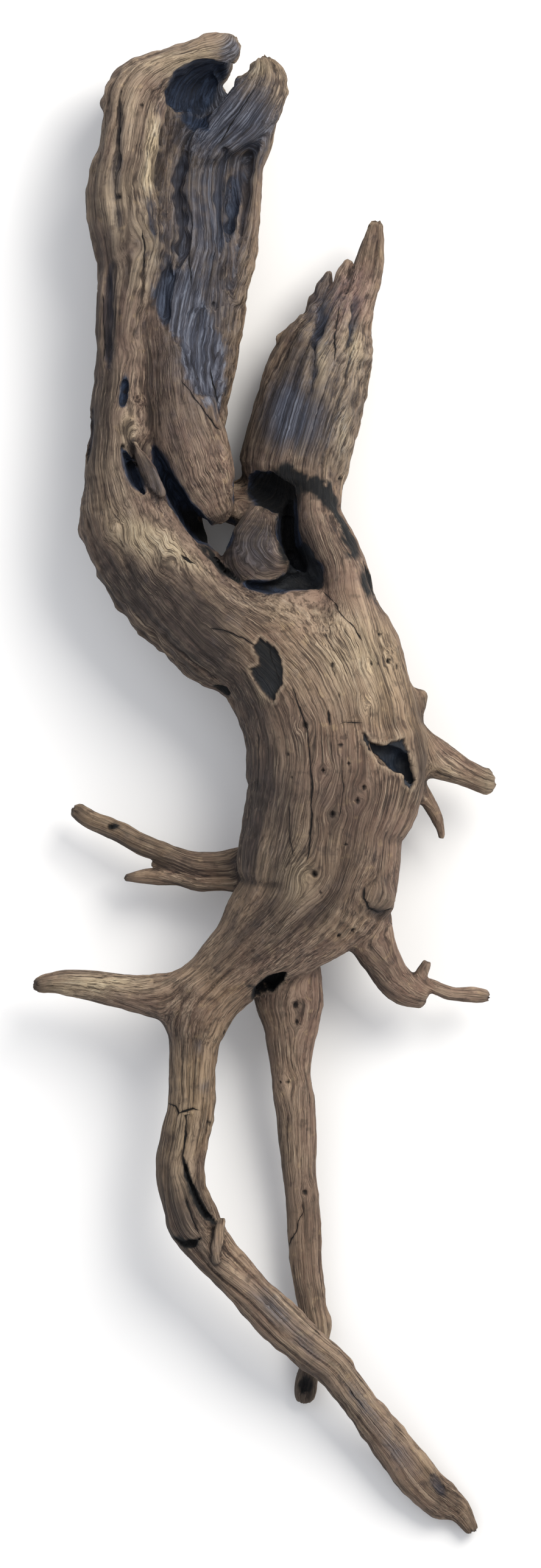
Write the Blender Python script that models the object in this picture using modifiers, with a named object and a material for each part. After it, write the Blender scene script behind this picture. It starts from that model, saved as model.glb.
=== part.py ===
"""A large piece of driftwood, lying on its back.

A broad trunk forks at one end into a hollow left arm and a shorter, splintered right arm, and runs
out at the other end into two long thin legs that cross. Short broken branches stand off its sides.
The whole piece grew as one, so it is one solid: every limb is a loft through unlike oval sections,
the limbs are fused by a voxel remesh, and the low side is worn flat where it touches the ground.

Frame: +Y runs along the length from legs to arms, +Z is up, and the origin is at the middle of the
footprint, on the ground.
"""

import bmesh
import bpy
import numpy as np

MM = 0.001

SIDES = 20  # points round each oval section
STEP = 6.0  # mm between the sections of a loft
CAP_RINGS = 4  # sections in the dome that closes each end of a limb
CAP_REACH = 0.5  # length of that dome over the smaller half-size of the end section
CAP_TIP = 0.02  # size of the last ring of the dome over the end section
VOXEL = 3.5  # mm, the grid that fuses the limbs
SMOOTHING = 5  # rounds that soften the creases between limbs
TRIANGLES = 9000
GROUND_SIDE = 2000.0  # mm, length and width of the block that wears the low side flat
GROUND_DEPTH = 60.0  # mm, thickness of that block
NODE = "driftwood"

# Each limb is a list of stations along its middle line: x, y and z of the section's middle, its
# half-width across the limb and its half-thickness up and down, all in mm.

LEFT_ARM = {
    "left_ridge": [
        (-105, 566, 84, 25, 24),
        (-109, 542, 86, 23, 26),
        (-112, 517, 88, 24, 28),
        (-117, 492, 88, 28, 30),
        (-115, 466, 88, 31, 30),
        (-110, 442, 88, 30, 30),
        (-111, 417, 88, 26, 28),
        (-117, 380, 88, 21, 27),
        (-118, 342, 88, 20, 26),
        (-119, 317, 87, 21, 27),
        (-120, 292, 86, 25, 29),
        (-124, 262, 85, 24, 30),
        (-119, 242, 84, 31, 33),
        (-112, 217, 84, 40, 38),
        (-91, 178, 84, 44, 44),
        (-60, 143, 85, 45, 49),
        (-28, 118, 86, 45, 52),
        (8, 90, 82, 36, 46),
    ],
    "left_back": [
        (-82, 584, 36, 38, 24),
        (-76, 556, 30, 52, 30),
        (-72, 515, 40, 62, 41),
        (-74, 450, 44, 62, 46),
        (-80, 390, 45, 57, 47),
        (-86, 330, 45, 52, 46),
        (-90, 280, 45, 48, 44),
        (-94, 235, 52, 38, 40),
        (-84, 188, 60, 41, 36),
        (-54, 148, 70, 38, 40),
        (-16, 112, 76, 38, 42),
        (20, 86, 78, 34, 40),
    ],
    "slab": [
        (-44, 540, 48, 34, 24),
        (-44, 505, 54, 43, 30),
        (-44, 478, 55, 41, 31),
        (-43, 442, 55, 37, 31),
        (-49, 415, 55, 35, 31),
        (-56, 380, 55, 39, 31),
        (-61, 345, 56, 38, 30),
        (-63, 318, 56, 34, 30),
        (-64, 290, 54, 32, 30),
        (-60, 262, 50, 26, 27),
        (-56, 240, 46, 18, 20),
    ],
    "hood": [
        (-114, 554, 84, 19, 22),
        (-109, 569, 86, 19, 22),
        (-98, 580, 86, 18, 21),
        (-80, 589, 84, 15, 20),
        (-57, 597, 80, 15, 19),
        (-37, 601, 76, 17, 18),
        (-25, 606, 72, 11, 12),
    ],
    "hood_wall": [
        (-108, 572, 62, 22, 26),
        (-80, 582, 56, 18, 30),
        (-45, 592, 56, 14, 24),
    ],
    "prong": [
        (-52, 512, 68, 18, 20),
        (-38, 528, 76, 22, 22),
        (-18, 545, 80, 25, 26),
        (-5, 563, 82, 24, 24),
        (3, 578, 82, 18, 18),
        (3, 591, 80, 11, 11),
    ],
    "right_rim": [
        (2, 548, 74, 12, 18),
        (0, 527, 72, 8, 20),
        (-5, 507, 70, 7, 20),
        (-8, 477, 68, 7, 20),
        (-12, 447, 66, 7, 20),
        (-18, 422, 64, 8, 20),
        (-24, 400, 60, 9, 18),
    ],
    "tongue": [
        (-88, 400, 70, 10, 12),
        (-86, 385, 72, 14, 16),
        (-79, 357, 76, 19, 21),
        (-71, 322, 78, 25, 25),
        (-64, 292, 79, 30, 27),
        (-58, 267, 79, 31, 27),
        (-50, 242, 77, 29, 26),
        (-42, 222, 75, 19, 20),
        (-39, 215, 74, 10, 11),
    ],
    "shard": [
        (-103, 277, 92, 3, 6),
        (-97, 260, 96, 8, 12),
        (-86, 243, 96, 9, 13),
        (-76, 227, 94, 6, 10),
    ],
}

RIGHT_ARM = {
    "right_arm": [
        (93, 461, 52, 5, 6),
        (90, 442, 50, 10, 11),
        (88, 424, 48, 11, 14),
        (79, 402, 46, 17, 21),
        (67, 384, 46, 26, 28),
        (58, 363, 46, 35, 36),
        (51, 351, 45, 39, 40),
        (44, 331, 45, 42, 44),
        (36, 304, 45, 44, 46),
        (30, 281, 46, 45, 46),
        (25, 263, 47, 44, 44),
        (24, 246, 44, 36, 36),
    ],
    "pink_blade": [
        (70, 430, 48, 3, 4),
        (63, 407, 48, 8, 10),
        (58, 380, 48, 12, 18),
    ],
    "dark_blade": [
        (54, 421, 44, 3, 4),
        (50, 405, 44, 7, 10),
        (46, 380, 44, 14, 18),
    ],
    "right_strand": [
        (42, 262, 50, 25, 34),
        (45, 238, 60, 20, 34),
        (46, 220, 66, 19, 36),
        (49, 207, 70, 22, 38),
        (57, 190, 74, 22, 42),
        (66, 170, 78, 21, 46),
        (69, 150, 82, 24, 50),
        (68, 122, 84, 33, 54),
        (62, 96, 80, 34, 48),
    ],
    "fork_floor": [
        (22, 262, 34, 34, 30),
        (20, 225, 36, 30, 28),
        (20, 185, 46, 34, 30),
        (26, 140, 66, 44, 40),
    ],
    "fork_web": [
        (-54, 238, 40, 15, 22),
        (-26, 234, 36, 15, 20),
        (2, 236, 36, 20, 22),
    ],
    "knob": [
        (-2, 158, 78, 26, 34),
        (-5, 180, 80, 31, 32),
        (-7, 195, 80, 24, 28),
        (-5, 210, 78, 17, 20),
        (-2, 220, 76, 12, 13),
        (2, 226, 74, 5, 6),
    ],
    "horn": [
        (-2, 208, 82, 8, 9),
        (5, 214, 84, 7, 8),
        (12, 218, 82, 3, 4),
    ],
}

TRUNK = {
    "trunk": [
        (34, 137, 80, 57, 48),
        (34, 114, 84, 71, 55),
        (41, 92, 86, 75, 57),
        (51, 67, 86, 73, 58),
        (58, 42, 86, 72, 58),
        (61, 17, 86, 73, 58),
        (58, -8, 86, 72, 58),
        (50, -33, 86, 66, 57),
        (47, -58, 86, 67, 56),
        (44, -83, 85, 65, 55),
        (36, -98, 85, 56, 53),
        (20, -113, 84, 49, 50),
        (4, -128, 83, 43, 46),
        (-12, -143, 82, 35, 41),
        (-32, -162, 81, 30, 36),
        (-50, -182, 80, 26, 31),
        (-56, -204, 79, 23, 24),
    ],
    "bump": [
        (110, 62, 78, 16, 18),
        (122, 64, 74, 13, 14),
        (131, 63, 72, 12, 11),
    ],
    "stub": [
        (112, 32, 78, 22, 26),
        (124, 27, 74, 20, 22),
        (146, 16, 68, 16, 17),
        (166, 7, 63, 12, 12),
        (181, 0, 60, 11, 11),
        (185, -1, 59, 11, 11),
    ],
    "thorn": [
        (112, -2, 70, 14, 18),
        (129, -9, 66, 8, 9),
        (140, -22, 62, 7, 7),
        (145, -35, 58, 5, 5),
        (148, -47, 56, 3, 3),
    ],
}

BRANCHES = {
    "upper_left_branch": [
        (10, -66, 60, 18, 20),
        (-22, -67, 56, 11, 12),
        (-52, -68, 52, 9, 10),
        (-74, -62, 49, 9, 9),
        (-101, -52, 45, 9, 9),
        (-122, -41, 42, 9, 9),
        (-144, -32, 38, 8, 8),
        (-155, -24, 36, 7, 7),
    ],
    "lower_left_branch": [
        (8, -84, 58, 16, 18),
        (-22, -84, 54, 9, 11),
        (-52, -85, 51, 8, 9),
        (-67, -82, 49, 7, 8),
        (-88, -80, 46, 7, 7),
        (-103, -80, 44, 5, 6),
        (-113, -81, 42, 3, 3),
    ],
    "splinter": [
        (-66, -76, 49, 5, 5),
        (-82, -71, 47, 4, 4),
        (-91, -69, 46, 3, 3),
    ],
    "hip_branch": [
        (-50, -180, 80, 28, 32),
        (-68, -181, 78, 24, 26),
        (-90, -178, 74, 18, 19),
        (-109, -175, 71, 15, 16),
        (-144, -169, 66, 12, 12),
        (-163, -167, 63, 10, 10),
        (-181, -168, 60, 8, 8),
        (-188, -170, 59, 5, 5),
    ],
    "lower_right_branch": [
        (76, -102, 74, 24, 28),
        (85, -121, 70, 22, 24),
        (97, -147, 62, 17, 18),
        (108, -164, 56, 15, 15),
        (118, -173, 52, 14, 13),
        (132, -179, 50, 11, 10),
    ],
    "nub": [
        (128, -168, 52, 6, 6),
        (132, -158, 54, 5, 5),
        (135, -152, 55, 4, 4),
    ],
    "twig": [
        (126, -172, 50, 7, 7),
        (135, -169, 50, 6, 6),
        (146, -173, 50, 5, 5),
        (158, -177, 48, 5, 5),
        (172, -177, 46, 6, 6),
        (184, -179, 44, 5, 5),
    ],
}

LEGS = {
    "front_leg": [
        (-46, -174, 80, 28, 33),
        (-55, -203, 79, 23, 24),
        (-57, -219, 78, 21, 20),
        (-58, -249, 77, 20, 19),
        (-59, -271, 76, 20, 19),
        (-64, -295, 75, 19, 18),
        (-68, -318, 73, 19, 18),
        (-66, -340, 71, 20, 19),
        (-59, -363, 68, 22, 20),
        (-45, -384, 65, 20, 18),
        (-11, -422, 59, 17, 17),
        (12, -446, 55, 20, 16),
        (37, -470, 51, 18, 15),
        (57, -485, 48, 16, 15),
        (77, -513, 41, 14, 14),
        (92, -532, 35, 15, 14),
        (110, -555, 27, 17, 15),
        (123, -573, 21, 18, 16),
        (136, -588, 16, 17, 15),
        (149, -599, 13, 17, 14),
        (163, -608, 11, 12, 10),
        (174, -624, 10, 7, 7),
    ],
    "rear_leg": [
        (20, -146, 62, 27, 28),
        (22, -180, 56, 29, 24),
        (23, -197, 53, 25, 21),
        (23, -211, 50, 21, 19),
        (23, -240, 46, 17, 16),
        (26, -269, 42, 17, 15),
        (28, -288, 39, 17, 15),
        (30, -325, 34, 15, 13),
        (33, -353, 30, 15, 13),
        (35, -396, 25, 14, 13),
        (41, -439, 19, 13, 11),
        (45, -455, 17, 15, 11),
        (40, -484, 13, 10, 10),
        (36, -500, 11, 10, 10),
        (35, -515, 9, 9, 10),
    ],
}

LIMB_GROUPS = (LEFT_ARM, RIGHT_ARM, TRUNK, BRANCHES, LEGS)


def clear_scene():
    for obj in list(bpy.data.objects):
        bpy.data.objects.remove(obj)


def collection(name):
    made = bpy.data.collections.new(name)
    bpy.context.scene.collection.children.link(made)
    return made


def add_object(name, mesh, home):
    obj = bpy.data.objects.new(name, mesh)
    home.objects.link(obj)
    return obj


def between(stations):
    """Stations every STEP mm, on the smooth curve (Catmull-Rom) through the given ones."""
    given = np.array(stations, float)
    padded = np.vstack([2 * given[0] - given[1], given, 2 * given[-1] - given[-2]])
    filled = [given[:1]]
    for before, start, end, after in zip(padded, padded[1:], padded[2:], padded[3:]):
        count = max(2, round(float(np.linalg.norm(end[:3] - start[:3])) / STEP))
        t = np.linspace(0, 1, count + 1)[1:, None]
        bend = (2 * before - 5 * start + 4 * end - after) * t**2
        twist = (3 * start - before - 3 * end + after) * t**3
        filled.append(start + 0.5 * ((end - before) * t + bend + twist))
    path = np.vstack(filled)
    path[:, 3:] = np.maximum(path[:, 3:], given[:, 3:].min())
    return path


def domed(end, inward):
    """The stations that close an end: its section, shrunk along a quarter circle away from the limb."""
    turn = np.linspace(0, np.pi / 2, CAP_RINGS + 1)[1:]
    ahead = end[:3] - inward[:3]
    ahead /= np.linalg.norm(ahead)
    length = CAP_REACH * min(end[3:])
    made = np.repeat(end[None], CAP_RINGS, axis=0)
    made[:, :3] += ahead * length * np.sin(turn)[:, None]
    made[:, 3:] *= np.cos(turn)[:, None] + CAP_TIP
    return made


def loft(mesh, stations):
    """Adds one limb to a bmesh: oval rings set square to the middle line, joined by quads."""
    path = between(stations)
    path = np.vstack([domed(path[0], path[1])[::-1], path, domed(path[-1], path[-2])])
    along = np.gradient(path[:, :3], axis=0)
    along /= np.linalg.norm(along, axis=1, keepdims=True)
    across = np.cross(along, (0, 0, 1))
    across /= np.linalg.norm(across, axis=1, keepdims=True)
    up = np.cross(across, along)
    turn = np.linspace(0, 2 * np.pi, SIDES, endpoint=False)
    wide = path[:, 3, None, None] * np.cos(turn)[None, :, None] * across[:, None]
    tall = path[:, 4, None, None] * np.sin(turn)[None, :, None] * up[:, None]
    points = (path[:, None, :3] + wide + tall) * MM
    rings = [[mesh.verts.new(point) for point in ring] for ring in points]
    for low, high in zip(rings, rings[1:]):
        for i in range(SIDES):
            j = (i + 1) % SIDES
            mesh.faces.new((low[i], low[j], high[j], high[i]))
    mesh.faces.new(rings[0][::-1])
    mesh.faces.new(rings[-1])


def limbs_mesh():
    shape = bmesh.new()
    for group in LIMB_GROUPS:
        for stations in group.values():
            loft(shape, stations)
    bmesh.ops.recalc_face_normals(shape, faces=shape.faces)
    mesh = bpy.data.meshes.new("limbs")
    shape.to_mesh(mesh)
    shape.free()
    return mesh


def baked(obj):
    """The object's mesh with its modifiers applied."""
    bpy.context.view_layer.update()
    graph = bpy.context.evaluated_depsgraph_get()
    return bpy.data.meshes.new_from_object(obj.evaluated_get(graph))


def fused(limbs, home):
    """The limbs as one skin: voxels join them, smoothing softens the joints, Decimate thins it."""
    obj = add_object("fused_limbs", limbs, home)
    remesh = obj.modifiers.new("fuse", "REMESH")
    remesh.mode = "VOXEL"
    remesh.voxel_size = VOXEL * MM
    smooth = obj.modifiers.new("soften", "SMOOTH")
    smooth.factor = 0.5
    smooth.iterations = SMOOTHING
    full = baked(obj)
    full.calc_loop_triangles()
    decimate = obj.modifiers.new("thin", "DECIMATE")
    decimate.ratio = TRIANGLES / len(full.loop_triangles)
    thinned = baked(obj)
    bpy.data.objects.remove(obj)
    return thinned


def ground_cutter(home):
    """A block whose top face is the ground, which wears the low side flat."""
    shape = bmesh.new()
    bmesh.ops.create_cube(shape, size=1.0)
    size = (GROUND_SIDE * MM, GROUND_SIDE * MM, GROUND_DEPTH * MM)
    bmesh.ops.scale(shape, vec=size, verts=shape.verts)
    down = (0, 0, -GROUND_DEPTH * MM / 2)
    bmesh.ops.translate(shape, vec=down, verts=shape.verts)
    mesh = bpy.data.meshes.new("ground")
    shape.to_mesh(mesh)
    shape.free()
    cutter = add_object("ground", mesh, home)
    cutter.hide_render = True
    cutter.display_type = "WIRE"
    return cutter


def worn_flat(mesh, cutter, home):
    obj = add_object("worn", mesh, home)
    cut = obj.modifiers.new("wear", "BOOLEAN")
    cut.operation = "DIFFERENCE"
    cut.solver = "EXACT"
    cut.object = cutter
    worn = baked(obj)
    bpy.data.objects.remove(obj)
    return worn


def centred(mesh):
    """Moves the mesh so that the middle of its footprint is at the origin."""
    points = np.empty(len(mesh.vertices) * 3)
    mesh.vertices.foreach_get("co", points)
    points = points.reshape(-1, 3)
    low, high = points.min(axis=0), points.max(axis=0)
    points -= ((low[0] + high[0]) / 2, (low[1] + high[1]) / 2, low[2])
    mesh.vertices.foreach_set("co", points.ravel())
    mesh.update()
    return mesh


def weathered_wood():
    """Grey-brown wood, washed bare and dry: dull, with no varnish."""
    material = bpy.data.materials.new("weathered_wood")
    material.use_nodes = True
    shader = material.node_tree.nodes["Principled BSDF"]
    shader.inputs["Base Color"].default_value = (0.235, 0.165, 0.11, 1.0)
    shader.inputs["Roughness"].default_value = 0.82
    shader.inputs["Metallic"].default_value = 0.0
    return material


def build():
    clear_scene()
    parts = collection(NODE)
    cutters = collection("cutters")
    skin = fused(limbs_mesh(), parts)
    worn = worn_flat(skin, ground_cutter(cutters), parts)
    driftwood = add_object(NODE, centred(worn), parts)
    driftwood.data.name = NODE
    driftwood.data.materials.clear()
    driftwood.data.materials.append(weathered_wood())
    driftwood.data.shade_smooth()


build()
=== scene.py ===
"""A large piece of driftwood, lying on its back on a pale floor and seen from straight above.

A broad trunk forks at one end into a hollow left arm and a shorter, splintered right arm, and runs
out at the other end into two long thin legs that cross. It grew as one piece: the limbs are laid
out as swept ovals in a volume, melted together, hollowed where the wood has rotted or burnt away,
and skinned. The grain is then combed along the limbs, and the skin is worn, split and coloured by it.

All lengths are in millimetres until the finished skin is turned to metres.
"""

import bpy
import numpy as np
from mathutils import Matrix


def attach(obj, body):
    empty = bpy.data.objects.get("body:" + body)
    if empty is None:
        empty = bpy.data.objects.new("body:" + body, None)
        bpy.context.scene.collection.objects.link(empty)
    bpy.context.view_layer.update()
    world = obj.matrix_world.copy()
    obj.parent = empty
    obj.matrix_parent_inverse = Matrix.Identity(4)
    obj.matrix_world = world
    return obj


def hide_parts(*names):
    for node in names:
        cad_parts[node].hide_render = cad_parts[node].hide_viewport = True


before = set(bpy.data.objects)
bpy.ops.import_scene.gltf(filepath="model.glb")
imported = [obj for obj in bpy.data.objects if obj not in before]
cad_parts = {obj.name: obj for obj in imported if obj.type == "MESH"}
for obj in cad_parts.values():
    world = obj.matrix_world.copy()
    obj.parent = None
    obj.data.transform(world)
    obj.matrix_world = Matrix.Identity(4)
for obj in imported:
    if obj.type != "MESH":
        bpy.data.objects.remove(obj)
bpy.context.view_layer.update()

import openvdb
from mathutils import Vector

MM = 0.001


# ---- Floor, lights and camera ------------------------------------------------------------------
# A studio: a pale matt floor, one large soft light up beyond the arms and to the right, a weak
# one from the other side, and a long lens looking straight down.

def linear(colour):
    """An sRGB hex colour as the linear red, green and blue that a shader takes, with alpha 1."""
    parts = np.array([int(colour[i : i + 2], 16) for i in (1, 3, 5)]) / 255
    made = np.where(parts <= 0.04045, parts / 12.92, ((parts + 0.055) / 1.055) ** 2.4)
    return (*made.tolist(), 1.0)


def add_object(name, data):
    """Puts a mesh, lamp or camera in the scene."""
    made = bpy.data.objects.new(name, data)
    bpy.context.scene.collection.objects.link(made)
    return made


FLOOR_SIZE = 8.0  # m

floor_mesh = bpy.data.meshes.new("floor")
floor_mesh.from_pydata(
    [(x * FLOOR_SIZE / 2, y * FLOOR_SIZE / 2, -0.0005) for x, y in ((-1, -1), (1, -1), (1, 1), (-1, 1))],
    [], [(0, 1, 2, 3)])
floor_paint = bpy.data.materials.new("matt_white_paint")  # pale and even, with no shine
floor_paint.use_nodes = True
floor_shader = floor_paint.node_tree.nodes["Principled BSDF"]
floor_shader.inputs["Base Color"].default_value = linear("#f4f4f3")
floor_shader.inputs["Roughness"].default_value = 0.9
floor_mesh.materials.append(floor_paint)
floor = add_object("floor", floor_mesh)


def soft_light(name, place, aim, size, power, colour):
    """A square area light at one place, turned to face another, in metres and watts."""
    lamp = bpy.data.lights.new(name, "AREA")
    lamp.shape, lamp.size, lamp.energy = "SQUARE", size, power
    lamp.color = linear(colour)[:3]
    made = add_object(name, lamp)
    made.location = place
    made.rotation_euler = (Vector(aim) - Vector(place)).to_track_quat("-Z", "Y").to_euler()
    return made


soft_light("main_light", (1.5, 1.6, 2.6), (0.0, 0.0, 0.05), 1.9, 106, "#fffbf5")
soft_light("fill_light", (-1.6, 1.2, 2.8), (0.0, 0.0, 0.05), 2.2, 14, "#eef3ff")
world = bpy.data.worlds.new("room")
bpy.context.scene.world = world
world.use_nodes = True
world.node_tree.nodes["Background"].inputs["Color"].default_value = linear("#f6f7fb")
world.node_tree.nodes["Background"].inputs["Strength"].default_value = 0.72
bpy.context.scene.view_settings.view_transform = "Standard"

LENS, SENSOR = 200.0, 36.0  # mm
VIEW_HEIGHT = 1.288  # m, what the long side of the picture takes in
VIEW_LEVEL = 0.12  # m above the floor, where it takes that in
AIM = (0.0053, 0.0025)  # m, the point that the middle of the picture looks at

camera = add_object("camera", bpy.data.cameras.new("camera"))
camera.data.lens, camera.data.sensor_width = LENS, SENSOR
camera.location = (*AIM, VIEW_LEVEL + VIEW_HEIGHT * LENS / SENSOR)
bpy.context.scene.camera = camera


# ---- Limbs -------------------------------------------------------------------------------------
# The round wood of the trunk, arms, branches and legs, bare of bark. Each limb is a list of
# stations along its middle line: x, y and z of the middle, half-width across, half-thickness up.

# The broad trunk, with a bump, a broken stub and a thorn on its right side.
TRUNK = {
    "trunk": [
        (34, 137, 80, 57, 48), (34, 114, 84, 71, 55), (41, 92, 86, 75, 57), (51, 67, 86, 73, 58),
        (58, 42, 86, 72, 58), (61, 17, 86, 73, 58), (58, -8, 86, 72, 58), (50, -33, 86, 66, 57),
        (47, -58, 86, 67, 56), (44, -83, 85, 65, 55), (36, -98, 85, 56, 53), (20, -113, 84, 49, 50),
        (4, -128, 83, 43, 46), (-12, -143, 82, 35, 41), (-32, -162, 81, 30, 36), (-50, -182, 80, 26, 31),
        (-56, -204, 79, 23, 24),
    ],
    "bump": [
        (110, 62, 78, 16, 18), (122, 64, 74, 13, 14), (131, 63, 72, 12, 11),
    ],
    "stub": [
        (112, 32, 78, 22, 26), (124, 27, 74, 20, 22), (146, 16, 68, 16, 17), (166, 7, 63, 12, 12),
        (181, 0, 60, 11, 11), (185, -1, 59, 11, 11),
    ],
    "thorn": [
        (112, -2, 70, 14, 18), (129, -9, 66, 8, 9), (140, -22, 62, 7, 7), (145, -35, 58, 5, 5),
        (148, -47, 56, 3, 3),
    ],
}

# The long left arm: a round outer ridge, and beside it a broken slab, over which the arm's end bends
# as a hood; a prong stands beside the hood, and a tongue of wood lies over the arm's root.
LEFT_ARM = {
    "left_ridge": [
        (-105, 566, 84, 25, 24), (-109, 542, 86, 23, 26), (-112, 517, 88, 24, 28), (-117, 492, 88, 28, 30),
        (-115, 466, 88, 31, 30), (-110, 442, 88, 30, 30), (-111, 417, 88, 26, 28), (-117, 380, 88, 21, 27),
        (-118, 342, 88, 20, 26), (-119, 317, 87, 21, 27), (-120, 292, 86, 25, 29), (-124, 262, 85, 24, 30),
        (-119, 242, 84, 31, 33), (-112, 217, 84, 40, 38), (-91, 178, 84, 44, 44), (-60, 143, 85, 45, 49),
        (-28, 118, 86, 45, 52), (8, 90, 82, 36, 46),
    ],
    "left_back": [
        (-82, 584, 36, 38, 24), (-76, 556, 30, 52, 30), (-72, 515, 40, 62, 41), (-74, 450, 44, 62, 46),
        (-80, 390, 45, 57, 47), (-86, 330, 45, 52, 46), (-90, 280, 45, 48, 44), (-94, 235, 52, 38, 40),
        (-84, 188, 60, 41, 36), (-54, 148, 70, 38, 40), (-16, 112, 76, 38, 42), (20, 86, 78, 34, 40),
    ],
    "slab": [
        (-44, 540, 48, 34, 24), (-44, 505, 54, 43, 30), (-44, 478, 55, 41, 31), (-43, 442, 55, 37, 31),
        (-49, 415, 55, 35, 31), (-56, 380, 55, 39, 31), (-61, 345, 56, 38, 30), (-63, 318, 56, 34, 30),
        (-64, 290, 54, 32, 30), (-60, 262, 50, 26, 27), (-56, 240, 46, 18, 20),
    ],
    "hood": [
        (-114, 554, 84, 19, 22), (-109, 569, 86, 19, 22), (-98, 580, 86, 18, 21), (-80, 589, 84, 15, 20),
        (-57, 597, 80, 15, 19), (-37, 601, 76, 17, 18), (-25, 606, 72, 11, 12),
    ],
    "hood_tip": [
        (-50, 606, 80, 6, 10), (-36, 609, 78, 6, 11), (-25, 610, 75, 4, 10),
    ],
    "hood_wall": [
        (-108, 572, 62, 22, 26), (-80, 582, 56, 18, 30), (-45, 592, 56, 14, 24),
    ],
    "hood_back": [
        (-70, 572, 34, 22, 18), (-50, 577, 36, 15, 16), (-42, 582, 38, 11, 16), (-34, 592, 44, 8, 16),
        (-31, 600, 50, 6, 14),
    ],
    "prong": [
        (-52, 512, 68, 18, 20), (-38, 528, 76, 22, 22), (-18, 545, 80, 25, 26), (-5, 563, 82, 25, 24),
        (2, 578, 82, 19, 18), (0, 592, 80, 12, 12),
    ],
    "right_rim": [
        (2, 548, 74, 12, 18), (0, 527, 72, 8, 20), (-5, 507, 70, 7, 20), (-8, 477, 68, 7, 20),
        (-12, 447, 66, 7, 20), (-18, 422, 64, 8, 20), (-24, 400, 60, 9, 18),
    ],
    "elbow": [
        (-138, 206, 84, 9, 11), (-148, 205, 84, 4, 5),
    ],
    "tongue": [
        (-88, 400, 70, 10, 12), (-86, 385, 72, 14, 16), (-79, 357, 76, 19, 21), (-71, 322, 78, 25, 25),
        (-64, 292, 79, 30, 27), (-58, 267, 79, 31, 27), (-50, 242, 77, 29, 26), (-42, 222, 75, 19, 20),
        (-39, 215, 74, 10, 11),
    ],
    "shard": [
        (-107, 279, 112, 2, 4), (-99, 264, 110, 6, 9), (-91, 249, 107, 8, 10), (-84, 236, 103, 6, 9),
    ],
}

# The short right arm with its blades, the strand that joins it to the trunk, and the fork with a knob.
RIGHT_ARM = {
    "right_arm": [
        (94, 461, 52, 6, 6), (91, 444, 50, 10, 10), (88, 424, 48, 13, 14), (79, 402, 46, 17, 21),
        (67, 384, 46, 26, 28), (58, 363, 46, 35, 36), (51, 351, 45, 39, 40), (44, 331, 45, 42, 44),
        (36, 304, 45, 44, 46), (30, 281, 46, 45, 46), (25, 263, 47, 44, 44), (24, 246, 44, 36, 36),
    ],
    "pink_blade": [
        (71, 430, 52, 4, 4), (66, 408, 54, 10, 9), (60, 382, 54, 15, 15),
    ],
    "dark_blade": [
        (54, 421, 44, 3, 4), (50, 405, 44, 7, 10), (46, 380, 44, 14, 18),
    ],
    "spur": [
        (30, 352, 46, 10, 12), (20, 361, 46, 6, 8), (14, 367, 46, 2, 3),
    ],
    "right_strand": [
        (42, 262, 50, 25, 34), (45, 238, 60, 20, 34), (46, 220, 66, 19, 36), (49, 207, 70, 22, 38),
        (57, 190, 74, 22, 42), (66, 170, 78, 21, 46), (69, 150, 82, 24, 50), (68, 122, 84, 33, 54),
        (62, 96, 80, 34, 48),
    ],
    "fork_floor": [
        (22, 262, 34, 34, 30), (20, 225, 36, 30, 28), (20, 185, 46, 34, 30), (26, 140, 66, 44, 40),
    ],
    "fork_web": [
        (-54, 238, 40, 15, 22), (-26, 234, 36, 15, 20), (2, 236, 36, 20, 22),
    ],
    "fork_side": [
        (-66, 222, 32, 12, 15), (-57, 204, 32, 10, 15), (-49, 188, 36, 7, 14),
    ],
    "fork_back": [
        (-27, 224, 42, 9, 22), (-12, 216, 42, 12, 22), (6, 206, 46, 14, 24),
    ],
    "knob": [
        (-2, 158, 78, 26, 34), (-5, 180, 80, 31, 32), (-7, 195, 80, 24, 28), (-5, 210, 78, 17, 20),
        (-2, 220, 76, 12, 13), (2, 226, 74, 5, 6),
    ],
    "horn": [
        (-2, 208, 82, 8, 9), (5, 214, 84, 7, 8), (12, 218, 82, 3, 4),
    ],
}

# The thin broken branches on the trunk's sides, with their splinter, nub and twig.
BRANCHES = {
    "upper_left_branch": [
        (10, -66, 60, 18, 20), (-22, -67, 56, 11, 12), (-52, -68, 52, 9, 10), (-74, -62, 49, 9, 9),
        (-101, -52, 45, 9, 9), (-122, -41, 42, 9, 9), (-144, -32, 38, 8, 8), (-155, -24, 36, 7, 7),
    ],
    "lower_left_branch": [
        (8, -84, 58, 16, 18), (-22, -84, 54, 9, 11), (-52, -85, 51, 8, 9), (-67, -82, 49, 7, 8),
        (-88, -80, 46, 7, 7), (-103, -80, 44, 5, 6), (-113, -81, 42, 3, 3),
    ],
    "splinter": [
        (-66, -76, 49, 5, 5), (-82, -71, 47, 4, 4), (-91, -69, 46, 3, 3),
    ],
    "hip_branch": [
        (-50, -180, 80, 28, 32), (-68, -181, 78, 24, 26), (-90, -178, 74, 18, 19), (-109, -175, 71, 15, 16),
        (-144, -169, 66, 12, 12), (-163, -167, 63, 10, 10), (-181, -168, 60, 8, 8), (-188, -170, 59, 5, 5),
    ],
    "lower_right_branch": [
        (76, -102, 74, 24, 28), (85, -121, 70, 22, 24), (97, -147, 62, 17, 18), (108, -164, 56, 15, 15),
        (118, -173, 52, 14, 13), (132, -179, 50, 11, 10),
    ],
    "nub": [
        (128, -168, 52, 6, 6), (132, -158, 54, 5, 5), (135, -152, 55, 4, 4),
    ],
    "twig": [
        (126, -172, 50, 7, 7), (135, -169, 50, 6, 6), (146, -173, 50, 5, 5), (158, -177, 48, 5, 5),
        (172, -177, 46, 6, 6), (184, -179, 44, 5, 5),
    ],
}

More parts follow.
